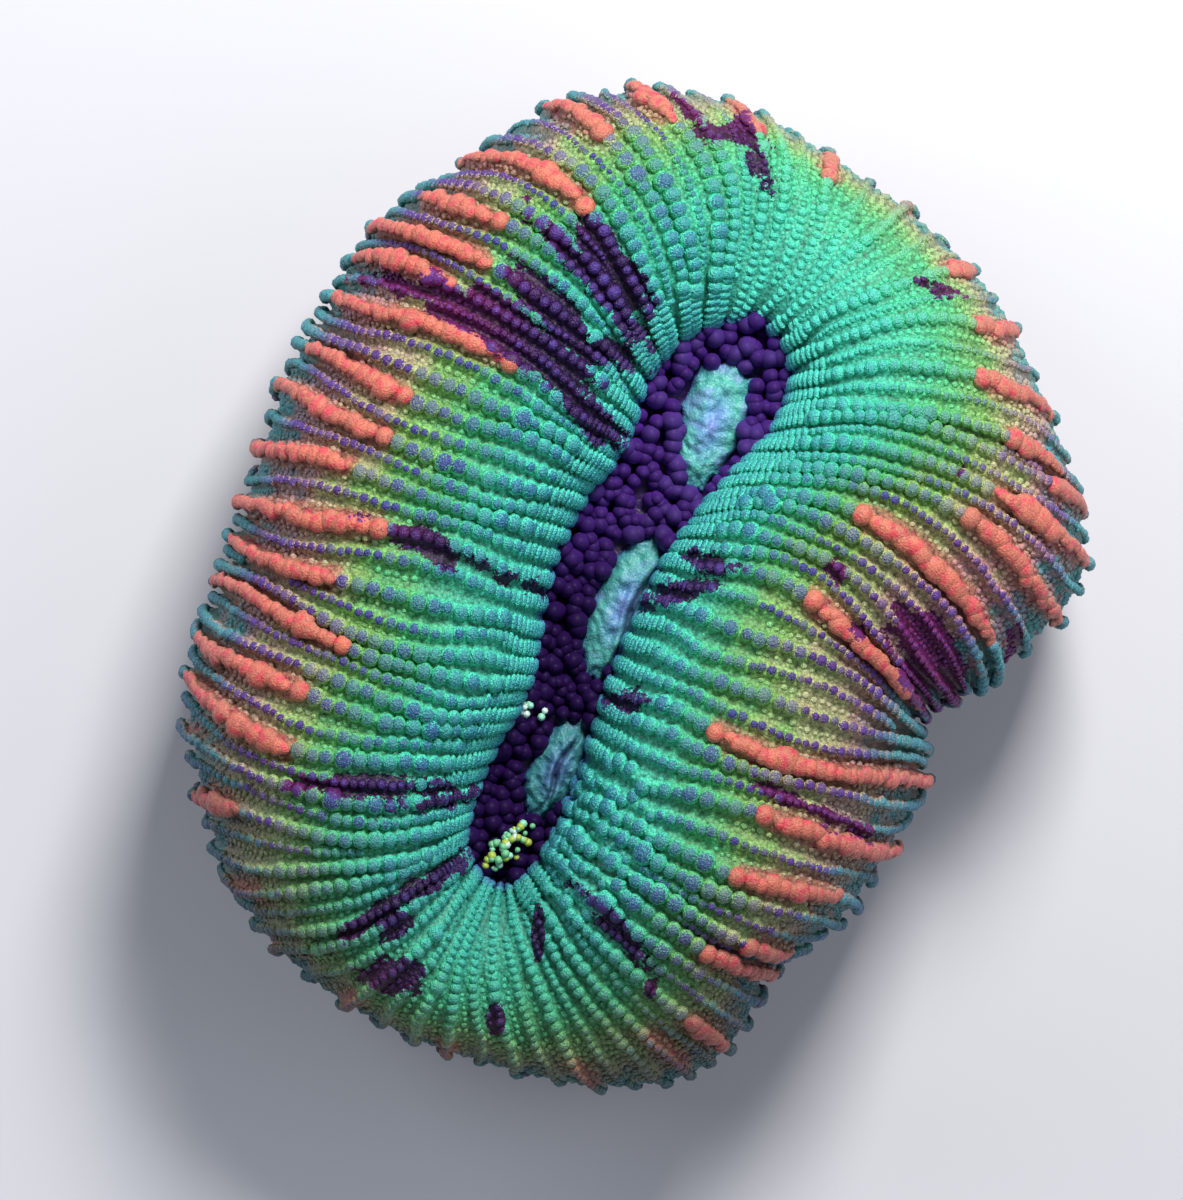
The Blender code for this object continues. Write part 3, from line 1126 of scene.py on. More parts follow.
def ball(sides: int, rings: int) -> bpy.types.Mesh:
    """A closed ball of radius 1 that keeps its height above the middle as the crown.

    Args:
        sides: Faces round it.
        rings: Faces from pole to pole.

    Returns:
        The mesh.
    """
    bm = bmesh.new()
    bmesh.ops.create_uvsphere(bm, u_segments=sides, v_segments=rings, radius=1.0)
    crown = bm.verts.layers.float.new("crown")
    for vert in bm.verts:
        vert[crown] = vert.co.z
    mesh = bpy.data.meshes.new("ball")
    bm.to_mesh(mesh)
    bm.free()
    return mesh


def quaternions(along: Array, normal: Array) -> Array:
    """Turns that take X along the row and Z out of the skin.

    Args:
        along: Unit tangents.
        normal: Unit normals.

    Returns:
        One quaternion in each line.
    """
    turns = []
    for x_way, z_way in zip(along, normal):
        y_way = np.cross(z_way, x_way)
        turns.append(Matrix(np.column_stack([x_way, y_way, z_way]).tolist()).to_quaternion()[:])
    return np.array(turns)


@dataclass(frozen=True)
class FleshTone:
    """Colour of the flesh and of the beads' bodies, read from the values kept on the mesh."""

    cool: tuple[tuple[float, Colour], ...] = (
        (0.0, paint(84, 118, 206)),
        (0.012, paint(80, 222, 198)),
        (0.14, paint(84, 228, 192)),
        (0.26, paint(96, 218, 160)),
        (0.37, paint(142, 212, 128)),
        (0.44, paint(150, 196, 128)),
        (0.5, paint(84, 166, 164)),
        (0.62, paint(92, 110, 150)),
        (0.8, paint(96, 76, 96)),
        (1.0, paint(74, 60, 68)),
    )
    warm: tuple[tuple[float, Colour], ...] = (
        (0.0, paint(84, 118, 206)),
        (0.012, paint(80, 222, 198)),
        (0.14, paint(84, 228, 186)),
        (0.22, paint(100, 214, 128)),
        (0.30, paint(160, 206, 98)),
        (0.36, paint(212, 204, 150)),
        (0.42, paint(216, 160, 156)),
        (0.455, paint(166, 144, 158)),
        (0.485, paint(92, 168, 164)),
        (0.55, paint(78, 138, 152)),
        (0.62, paint(140, 100, 120)),
        (0.8, paint(116, 80, 82)),
        (1.0, paint(78, 62, 62)),
    )
    bands: tuple[tuple[float, Colour], ...] = (
        (0.0, paint(186, 122, 104)),
        (0.12, paint(204, 76, 98)),
        (0.28, paint(224, 76, 62)),
        (0.46, paint(238, 92, 34)),
        (0.80, paint(244, 108, 24)),
        (0.92, paint(214, 40, 20)),
        (1.0, paint(172, 10, 26)),
    )
    pale: Colour = paint(244, 128, 78)
    blush: Colour = paint(206, 138, 108)
    inner_stain: Colour = paint(30, 8, 62)
    outer_stain: Colour = paint(106, 12, 80)

    def body(self, w: Wiring, grain: Socket, shown: Any = 1.0) -> Socket:
        """Colour before shade and stains.

        Args:
            w: The material's wiring.
            grain: Granules, 0 at their middles.
            shown: How far the orange shows, 0 to 1.

        Returns:
            The colour.
        """
        place = w.attribute("zone") * (0.38 + w.noise(0.3, 1.0) * 0.24)
        tone = w.mix(w.attribute("warmth"), w.ramp(place, self.cool), w.ramp(place, self.warm))
        mottle = (w.noise(1.1, 0.0) - 0.5) * 0.8
        band = w.ramp(w.attribute("heat") + mottle * 0.6, self.bands)
        band = w.mix((1 - grain).step(0.5, 1.0) * 0.3, band, self.pale)
        glow = w.attribute("glow") * shown + mottle * 0.4
        tone = w.mix(glow.step(0.05, 0.5) * 0.8, tone, self.blush)
        return w.mix(glow.step(0.3, 0.85), tone, band)

    def stained(self, w: Wiring, tone: Socket, grain: Socket, crest: Any = 0.0) -> Socket:
        """Lay the ragged maroon and violet stains over a colour.

        Args:
            w: The material's wiring.
            tone: The colour below.
            grain: Granules, 0 at their middles.
            crest: How far a bead's top turns blue, 0 to 1.

        Returns:
            The colour.
        """
        ragged = (w.noise(0.35, 0.0) - 0.5) * 2.2 + (w.noise(1.4, 2.0, 0.7) - 0.5) * 2.4
        edge = w.attribute("stain") + 0.3 + ragged
        deep = w.mix(w.attribute("zone").step(0.3, 0.7), self.inner_stain, self.outer_stain)
        deep = w.mix((1 - grain).step(0.3, 0.95) * 0.4, deep, paint(112, 54, 150))
        deep = w.mix(crest, deep, paint(76, 58, 150))
        return w.mix(edge.step(-0.06, 0.1), tone, deep)


@dataclass(frozen=True)
class FleshFinish:
    """Granular flesh between the rows, painted darker in the grooves and on the south flanks as painted
    shade.
    """

    tone: FleshTone = FleshTone()

    def build(self) -> bpy.types.Material:
        """Wire the finish.

        Returns:
            The material.
        """
        w = Wiring("coral_flesh")
        grain = w.cells(2.3)
        fuzz = w.noise(4.4, 1.0)
        speck = (1 - w.cells(5.5)).step(0.55, 0.95)
        stipple = 1.18 - grain * 0.95 + (fuzz - 0.5) * 0.9 + speck * 0.45
        # Painted shade: darker in the grooves between the rows and on the south flanks; the stipple is the
        # granules' own colour.
        shade = (0.48 + w.attribute("ridge") * 0.5) * stipple * (1 - w.attribute("dusk") * 0.5)
        tone = self.tone.stained(w, self.tone.body(w, grain), grain)
        w.set(Base_Color=w.shaded(tone, shade), Roughness=0.52, Specular_IOR_Level=0.35)
        w.set(Coat_Weight=0.05, Coat_Roughness=0.35)
        w.bump((1 - grain) * 0.7 + fuzz * 0.5, 0.2, 0.9)
        return w.material


@dataclass(frozen=True)
class SkeletonFinish:
    """Chalky limestone of the foot, rough and pitted."""

    chalk: Colour = paint(206, 194, 172)
    pit: Colour = paint(128, 112, 92)

    def build(self) -> bpy.types.Material:
        """Wire the finish.

        Returns:
            The material.
        """
        w = Wiring("bare_skeleton")
        grain = w.noise(2.2, 5.0, 0.65)
        pits = w.cells(1.1)
        tone = w.mix(grain.step(0.35, 0.65), self.pit, self.chalk)
        tone = w.mix(pits.step(0.0, 0.28), self.pit, tone)
        tone = w.mix(w.noise(0.15, 2.0).step(0.5, 0.75) * 0.5, tone, paint(120, 96, 110))
        w.set(Base_Color=tone, Roughness=0.9)
        w.bump(grain * 0.6 + pits.step(0.0, 0.3), 0.3, 0.9)
        return w.material


@dataclass(frozen=True)
class ValleyFinish:
    """Dark wet floor between the bubbles."""

    deep: Colour = paint(26, 8, 52)

    def build(self) -> bpy.types.Material:
        """Wire the finish.

        Returns:
            The material.
        """
        w = Wiring("valley_floor")
        w.set(Base_Color=w.mix(w.noise(1.5, 3.0), self.deep, paint(52, 20, 96)), Roughness=0.45)
        w.bump(w.noise(2.5, 3.0), 0.2, 0.6)
        return w.material


@dataclass(frozen=True)
class BeadFinish:
    """Granular bead with the flesh's colour below and a stippled tip of blue or violet, painted darker low
    down and on the south flanks as painted shade.
    """

    name: str
    tip_amount: float = 1.0
    tip_from: float = 0.2
    grit: float = 0.16
    tone: FleshTone = FleshTone()
    tips: tuple[tuple[float, Colour], ...] = (
        (0.0, paint(42, 132, 146)),
        (0.09, paint(40, 104, 138)),
        (0.16, paint(44, 78, 132)),
        (0.28, paint(62, 64, 134)),
        (0.38, paint(86, 48, 124)),
        (0.45, paint(86, 58, 140)),
        (0.485, paint(66, 142, 152)),
        (0.56, paint(70, 108, 146)),
        (0.75, paint(62, 36, 78)),
    )

    def build(self) -> bpy.types.Material:
        """Wire the finish.

        Returns:
            The material.
        """
        w = Wiring(self.name)
        dots = w.cells(4.6)
        fuzz = w.noise(2.9, 1.0)
        luck = w.attribute("luck")
        tone = self.tone.body(w, dots, 0.5 + w.attribute("crown").step(-0.5, 0.6) * 0.5)
        # The tips also run to darker violet where the south flanks carry painted shade.
        tip = w.ramp(w.attribute("zone") * 0.5 + w.attribute("dusk") * 0.16, self.tips)
        crown = w.attribute("crown") + (dots - 0.4) * 0.8 + (fuzz - 0.5) * 0.7
        amount = (0.68 + 0.32 * luck) * w.attribute("tipped") * self.tip_amount
        cover = crown.step(self.tip_from, self.tip_from + 0.75) * amount
        crest = crown.step(0.5, 1.2) * luck * 0.8
        tone = self.tone.stained(w, w.mix(cover, tone, tip), dots, crest)
        # Painted shade: each bead is painted darker towards its lower half, where it sits in the flesh among
        # its neighbours, and darker on the south flanks.
        low = w.attribute("crown").step(-0.6, 0.5)
        shade = (0.62 + low * 0.4) * (1.3 - dots * 0.6 + (fuzz - 0.5) * 0.5) * (0.9 + luck * 0.18)
        shade = shade * (1 - w.attribute("dusk") * 0.5)
        w.set(Base_Color=w.shaded(tone, shade), Roughness=0.5, Specular_IOR_Level=0.35)
        w.set(Coat_Weight=0.06, Coat_Roughness=0.35)
        w.bump((1 - dots) * 0.8 + fuzz * 0.6, self.grit, 1.0)
        return w.material


@dataclass(frozen=True)
class PaleBeadFinish:
    """Small pale beads heaped on the valley floor, each of its own colour, painted darker and bluer towards
    its underside as painted shade.
    """

    def build(self) -> bpy.types.Material:
        """Wire the finish.

        Returns:
            The material.
        """
        w = Wiring("pale_beads")
        dots = w.cells(5.0)
        # Painted shade: each bead's lower part is painted darker and bluer.
        cover = (w.attribute("crown") + (dots - 0.5) * 0.6).step(-0.3, 0.7)
        tint = w.attribute("tint", "Color")
        tone = w.mix(cover, w.mix(0.5, tint, paint(40, 90, 110)), tint)
        w.set(Base_Color=tone, Roughness=0.45, Coat_Weight=0.1, Coat_Roughness=0.3)
        w.bump(1 - dots, 0.05, 0.7)
        return w.material


@dataclass
class FleshPiece:
    """The skin of the whole coral as one closed mesh, foot and valley floor included."""

    skin: RowedSkin
    across: int = 9
    rings: int = 100

    def ring_angles(self) -> Array:
        """Section angles, close together where the rows show.

        Returns:
            Angles from 0 to 360 degrees.
        """
        spans = ((0, 20, 9), (20, 190, 69), (190, 272, 14), (272, 300, 4), (300, 360, 4))
        parts = [np.linspace(low, high, count, endpoint=False) for low, high, count in spans]
        return np.append(np.concatenate(parts), 360.0)

    def build(self) -> bpy.types.Object:
        """Roll a grid round the valley, close its two loops, and put each vertex in its place.

        Returns:
            The piece, which stands for the CAD node.
        """
        angles = self.ring_angles()
        columns = self.skin.count * self.across
        bm = bmesh.new()
        bmesh.ops.create_grid(bm, x_segments=columns, y_segments=len(angles) - 1, size=0.5)
        row_at = bm.verts.layers.float.new("row")
        angle_at = bm.verts.layers.float.new("angle")
        steps = np.linspace(0, 1, len(angles))
        flat = np.array([vert.co[:2] for vert in bm.verts]) + 0.5
        turned = np.interp(flat[:, 1], steps, angles)
        for vert, (u, v), angle in zip(bm.verts, flat, turned):
            vert[row_at] = u * self.skin.count
            vert[angle_at] = angle
            turn = 2 * math.pi * u
            vert.co = ((2 + v) * math.cos(turn), (2 + v) * math.sin(turn), v)
        bmesh.ops.remove_doubles(bm, verts=bm.verts, dist=1e-6)
        bmesh.ops.holes_fill(bm, edges=[edge for edge in bm.edges if edge.is_boundary], sides=0)
        for face in bm.faces:
            mean = sum(vert[angle_at] for vert in face.verts) / len(face.verts)
            face.material_index = 2 if len(face.verts) > 4 and mean < 90 else int(mean > 284)
        mesh = bpy.data.meshes.new("coral_flesh")
        bm.to_mesh(mesh)
        bm.free()
        self._settle(mesh)
        for finish in (FleshFinish(), SkeletonFinish(), ValleyFinish()):
            mesh.materials.append(finish.build())
        piece = add_object("coral_flesh", mesh, mesh.materials[0])
        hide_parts("brain_coral")
        return piece

    def _settle(self, mesh: bpy.types.Mesh) -> None:
        """Move the vertices onto the skin and keep the values that the finish reads.

        Args:
            mesh: The rolled grid, with its row and angle kept on each vertex.
        """
        size = len(mesh.vertices)
        row = np.zeros(size, np.float32)
        angle = np.zeros(size, np.float32)
        mesh.attributes["row"].data.foreach_get("value", row)
        mesh.attributes["angle"].data.foreach_get("value", angle)
        places = self.skin.places(row.astype(float), angle.astype(float))
        point = places.point.copy()
        point[angle > 359.9, 2] = 0.0
        mesh.vertices.foreach_set("co", (point * MM).astype(np.float32).ravel())
        for name, values in places.values.items():
            put_values(mesh, name, values)
        put_values(mesh, "stain", stain_depth(places.point[:, :2], angle))
        for spare in ("row", "angle"):
            mesh.attributes.remove(mesh.attributes[spare])
        bm = bmesh.new()
        bm.from_mesh(mesh)
        bmesh.ops.recalc_face_normals(bm, faces=bm.faces)
        bm.to_mesh(mesh)
        bm.free()
        mesh.shade_smooth()


@dataclass
class BeadStrings:
    """Every string of beads along the rows. Sizes in mm."""

    skin: RowedSkin
    first: float = 7.0
    rib_until: float = 50.0
    orange_until: float = 187.0
    hem_from: float = 190.0
    fine_until: float = 222.0
    last: float = 264.0
    stride: float = 0.15
    crests: tuple[tuple[float, Colour], ...] = (
        (0.2, paint(240, 92, 40)),
        (0.42, paint(228, 76, 58)),
        (0.5, paint(196, 68, 94)),
    )

    def __post_init__(self) -> None:
        """Start with no beads and a fixed chance."""
        self.chance = np.random.default_rng(SEED)
        self.beads: dict[BeadKind, list[Bead]] = {kind: [] for kind in BeadKind}

    def _stops(self, row: float, low: float, high: float) -> tuple[Array, Places]:
        """Evenly spaced places along a row.

        Args:
            row: The row's number.
            low: First section angle.
            high: Last section angle.

        Returns:
            Their angles, and the skin there.
        """
        angles = np.linspace(low, high, 260)
        points = self.skin.places(np.full_like(angles, row), angles).point
        run = np.concatenate([[0], np.cumsum(np.linalg.norm(np.diff(points, axis=0), axis=1))])
        stops = np.interp(np.arange(0, run[-1], self.stride), run, angles)
        return stops, self.skin.places(np.full_like(stops, row), stops)

    def _main_row(self, number: int, row: Row) -> None:
        """String one main row from the valley to the hem.

        Args:
            number: The row's number.
            row: What is known of the row.
        """
        stops, places = self._stops(number, self.first, self.last)
        plan = places.point[:, :2]
        calm = deepest(QUIET, plan)
        rough = deepest(PEBBLED, plan)
        stained = stain_depth(plan, stops)
        around = self.skin.around(np.full_like(stops, number), stops)
        bulk = coarseness(around)
        melts = smoothstep(0.66, 0.7, around)
        follows = smoothstep(*FOLLOW_ROOM, places.room)
        faint = np.maximum(hump(around, 0.02, 0.05), hump(around, 0.9, 0.09))
        reach = 0.0
        entered = False
        for k, angle in enumerate(stops):
            if k * self.stride < reach or (not row.leading and follows[k] < 0.45):
                continue
            luck, other, third = self.chance.random(3)
            banded = row.has_orange(places.share[k]) and angle < self.orange_until
            seat = Seat(
                row=row,
                angle=angle,
                wide=places.room[k] * ((2 - follows[k]) if row.leading else 1.0),
                share=places.share[k],
                zone=places.values["zone"][k],
                size=bulk[k],
                lower=1.0 if row.leading else 0.8 - 0.3 * faint[k],
                melt=float(melts[k]),
                quiet=angle < 170 and calm[k] > 0.3 + other,
                pebbled=rough[k] > 0,
                luck=luck,
                other=other,
                third=third,
            )
            if banded and not entered and luck > 0.35:
                bead = seat.first_orange()
            elif banded:
                bead = seat.orange()
            elif angle > self.hem_from:
                bead = seat.hem()
            elif seat.quiet or (angle < self.rib_until and rough[k] < 0):
                bead = seat.rib()
            elif seat.zone < 0.52 + 0.16 * row.leading:
                bead = seat.green()
            else:
                bead = seat.violet()
            if stained[k] > 0:
                bead.radii = tuple(0.74 * radius for radius in bead.radii)
                bead.step *= 0.78
            entered = banded
            reach = k * self.stride + bead.step
            bead.row += number
            bead.glow = 0.65 + 0.35 * places.values["glow"][k] if banded else 0.0
            self.beads[bead.kind].append(bead)

    def _fine_row(self, number: float, low: float, least: float) -> None:
        """String the tiny beads that lie between two main rows.

        Args:
            number: Row number, with a fraction.
            low: First section angle.
            least: The room that they need, in mm.
        """
        stops, places = self._stops(number, low, self.fine_until)
        reach = 0.0
        for k, angle in enumerate(stops):
            if k * self.stride < reach:
                continue
            luck, other, third = self.chance.random(3)
            across = 0.28 + 0.22 * luck + 0.06 * (angle > 140)
            reach = k * self.stride + across * 2.0
            if places.room[k] < least + 0.3 * other or third > 0.93:
                continue
            radii = (across, across, across * 0.85)
            place = number + 0.12 * (other - 0.5)
            self.beads[BeadKind.FINE].append(Bead(BeadKind.FINE, place, angle, radii, 0.2, other))

    def build(self) -> list[bpy.types.Object]:
        """String every row and join each kind.

        Returns:
            One piece for each kind of bead.
        """
        for number, row in enumerate(self.skin.rows):
            self._main_row(number, row)
            self._fine_row(number + 0.5, 92.0, 2.1)
            self._fine_row(number + 0.3, 128.0, 2.3)
            self._fine_row(number + 0.7, 128.0, 2.3)
        finishes = {
            "green_beads": BeadFinish("green_beads").build(),
            "orange_crests": BeadFinish("orange_crests", 0.35, 0.1, 0.1, tips=self.crests).build(),
            "violet_beads": BeadFinish("violet_beads", 1.0, 0.08).build(),
        }
        return [self._join(kind, beads, finishes[FORMS[kind].slot]) for kind, beads in self.beads.items()]

    def _join(self, kind: BeadKind, beads: list[Bead], material: bpy.types.Material) -> bpy.types.Object:
        """Make one kind's beads, set on the skin, into one piece.

        Args:
            kind: The kind of bead.
            beads: Its beads.
            material: Its finish.

        Returns:
            The piece.
        """
        rows = np.array([bead.row for bead in beads])
        angles = np.array([bead.angle for bead in beads])
        radii = np.array([bead.radii for bead in beads])
        sunk = np.array([bead.sunk for bead in beads])
        places = self.skin.places(rows, angles)
        centres = places.point - places.normal * (sunk * radii[:, 2])[:, None]
        coarse = (coarseness(self.skin.around(rows, angles)) - FINEST) / (1 - FINEST)
        # The beads take the flesh's values, the painted shade of the south flanks among them.
        tints = {name: places.values[name] for name in ("zone", "warmth", "heat", "dusk")}
        tints["luck"] = np.array([bead.luck for bead in beads]) * (0.4 + 0.6 * coarse)
        tints["glow"] = np.maximum(0.6 * places.values["glow"], [bead.glow for bead in beads])
        form = FORMS[kind]
        tints["tipped"] = (0.35 + 0.65 * coarse) * form.tipped
        if kind is BeadKind.FINE:
            tints["tipped"] *= 0.3 + 0.5 * smoothstep(130, 170, angles)
        turns = quaternions(places.along, places.normal)
        mesh = spread_shapes(ball(form.sides, form.rings), centres * MM, turns, radii * MM, tints)
        corners = np.zeros(len(mesh.vertices) * 3, np.float32)
        mesh.vertices.foreach_get("co", corners)
        copies = len(mesh.vertices) // len(beads)
        plan = corners.reshape(-1, 3)[:, :2] / MM
        put_values(mesh, "stain", stain_depth(plan, np.repeat(angles, copies)))
        return add_object(kind.value, mesh, material)


@dataclass(frozen=True)
class BubbleFinish:
    """Moist violet bubble: dark on its crown, with a lighter rim painted as light shining through its sides.
    """

    dark: Colour = paint(34, 0, 70)
    # Painted light: the lighter violet round the rim, for light coming through the bubble's side.
    light: Colour = paint(66, 8, 124)

    def build(self) -> bpy.types.Material:
        """Wire the finish.

        Returns:
            The material.
        """
        w = Wiring("valley_bubbles")
        crown = w.attribute("crown") + (w.noise(0.8, 2.0) - 0.5) * 0.3
        # Painted light: lighter towards the rim, darker on the crown.
        tone = w.mix(crown.step(0.2, 0.85), self.light, self.dark)
        tone = w.mix(w.attribute("grey") * 0.4, tone, paint(66, 52, 112))
        dots = w.cells(4.5)
        tone = w.mix(dots.step(0.1, 0.8) * 0.35, w.mix(0.18, tone, paint(130, 90, 200)), tone)
        # Painted shade: bubbles towards the south, deep in the narrow valley, are painted near black.
        tone = w.mix(w.attribute("gloom"), tone, paint(10, 1, 26))
        w.set(Base_Color=tone, Roughness=0.45, Specular_IOR_Level=0.06)
        w.bump(1 - dots, 0.03, 0.5)
        return w.material


@dataclass(frozen=True)
class MouthFinish:
    """Pale mint flesh of a mouth, stippled, with a lavender lip, and painted shade in its slit and deep in
    the valley.
    """

    def build(self) -> bpy.types.Material:
        """Wire the finish.

        Returns:
            The material.
        """
        w = Wiring("mouth_flesh")
        inward = w.attribute("inward")
        dots = w.cells(3.6)
        fuzz = w.noise(1.6, 4.0, 0.6)
        tone = w.ramp(
            inward + (fuzz - 0.5) * 0.3,
            (
                (0.0, paint(34, 60, 128)),
                (0.1, paint(54, 146, 150)),
                (0.35, paint(80, 182, 166)),
                (0.7, paint(100, 162, 200)),
                (1.0, paint(126, 142, 220)),
            ),
        )
        tone = w.mix((1 - dots).step(0.4, 1.0) * 0.5, tone, paint(160, 220, 228))
        tone = w.mix(w.noise(0.4, 2.0).step(0.5, 0.68) * 0.45, tone, paint(128, 128, 214))
        # Painted shade: darker blue for mouths lying deep in the valley.
        tone = w.mix(w.attribute("gloom"), tone, paint(20, 62, 110))
        # Painted shade: the slit is painted dark, for the shade down in the cut.
        tone = w.mix(w.attribute("slit"), tone, paint(20, 30, 74))
        w.set(Base_Color=tone, Roughness=0.5, Coat_Weight=0.1, Coat_Roughness=0.3)
        w.bump((1 - dots) * 0.6 + fuzz, 0.14, 0.8)
        return w.material


@dataclass(frozen=True)
class Mouth:
    """One oval mouth on the valley floor. Sizes in mm, heading in degrees from +X."""

    x: float
    y: float
    heading: float
    half_length: float
    half_width: float
    taper: float
    side: float
    gash: float
    height: float = 2.6

    def build(self, name: str, fold: Fold, material: bpy.types.Material) -> bpy.types.Object:
        """Raise a folded mound with a slit along it, and close it underneath.

        Args:
            name: The piece's name.
            fold: The form that the valley floor belongs to.
            material: The mouths' finish.

        Returns:
            The piece.
        """
        bm = bmesh.new()
        bmesh.ops.create_grid(bm, x_segments=64, y_segments=36, size=1.0)
        inward = bm.verts.layers.float.new("inward")
        slit = bm.verts.layers.float.new("slit")
        gloom = bm.verts.layers.float.new("gloom")
        c, s = cos_sin(self.heading)
        for vert in bm.verts:
            u, v = vert.co.x, vert.co.y
            x = u * math.sqrt(1 - v * v / 2)
            y = v * math.sqrt(1 - u * u / 2)
            rise, gash, ragged = self._relief(x, y)
            length = self.half_length * x * ragged
            width = self.half_width * y * (1 + self.taper * x) * ragged
            px = self.x + length * c - width * s
            py = self.y + length * s + width * c
            vert[inward] = 1 - min(1.0, math.hypot(x, y))
            vert[slit] = min(1.0, gash)
            # Painted shade: mouths further south, deeper in the valley, are painted darker.
            vert[gloom] = 0.5 * max(0.0, min(1.0, (8 - self.y) / 25))
            vert.co = Vector((px, py, float(fold.floor_at(py)) + 0.3 + rise)) * MM
        rim = bmesh.ops.extrude_edge_only(bm, edges=[edge for edge in bm.edges if edge.is_boundary])
        for vert in (part for part in rim["geom"] if isinstance(part, bmesh.types.BMVert)):
            vert.co.z = (float(fold.floor_at(vert.co.y / MM)) - 0.8) * MM
        bmesh.ops.holes_fill(bm, edges=[edge for edge in bm.edges if edge.is_boundary], sides=0)
        bmesh.ops.recalc_face_normals(bm, faces=bm.faces)
        mesh = bpy.data.meshes.new(name)
        bm.to_mesh(mesh)
        bm.free()
        mesh.shade_smooth()
        return add_object(name, mesh, material)

    def _relief(self, x: float, y: float) -> tuple[float, float, float]:
        """Shape of the mouth at a place on a round of radius 1.

        Args:
            x: Place along the mouth, -1 to 1.
            y: Place across it.

        Returns:
            Height in mm, how deep in the slit it lies, and the outline's ragged factor.
        """
        out = min(1.0, math.hypot(x, y))
        phase = math.atan2(y, x)
        wander = self.side + 0.12 * math.sin(5.0 * x + 1.0)
        cut = math.exp(-(((y - wander) / 0.08) ** 2))
        gash = self.gash * cut * (1 - min(1.0, abs(x) / 0.72) ** 4)
        swollen = math.exp(-(((abs(y - wander) - 0.2) / 0.15) ** 2))
        lip = 0.32 * self.gash * swollen * (1 - min(1.0, abs(x) / 0.85) ** 2)
        lobes = 0.08 * math.cos(5 * phase + 2 * out) * out
        lobes += 0.1 * math.sin(7 * x + 2) * math.cos(5 * y + 4 * x)
        rise = self.height * ((1 - out**4) * (0.72 + lobes) + lip - 0.8 * gash)
        spot = Vector((self.half_length * x, self.half_width * y, self.heading))
        rise += 0.5 * noise.noise(spot * 0.7) + 0.32 * noise.noise(spot * 1.7)
        edge = Vector((3 * math.cos(phase), 3 * math.sin(phase), self.y)) * 1.6
        return rise, gash, 1 + 0.16 * out**6 * noise.noise(edge)

    def covers(self, x: float, y: float, spare: float) -> bool:
        """Whether a bubble at a place would sit in the mouth.

        Args:
            x: The place along X, in mm.
            y: The place along Y, in mm.
            spare: Width of flesh to keep clear round the mouth, in mm.

        Returns:
            True where it would.
        """
        c, s = cos_sin(self.heading)
        dx = x - self.x
        dy = y - self.y
        along = dx * c + dy * s
        side = dy * c - dx * s
        width = self.half_width * (1 + self.taper * along / self.half_length)
        return math.hypot(along / (self.half_length + spare), side / (width + spare)) < 1


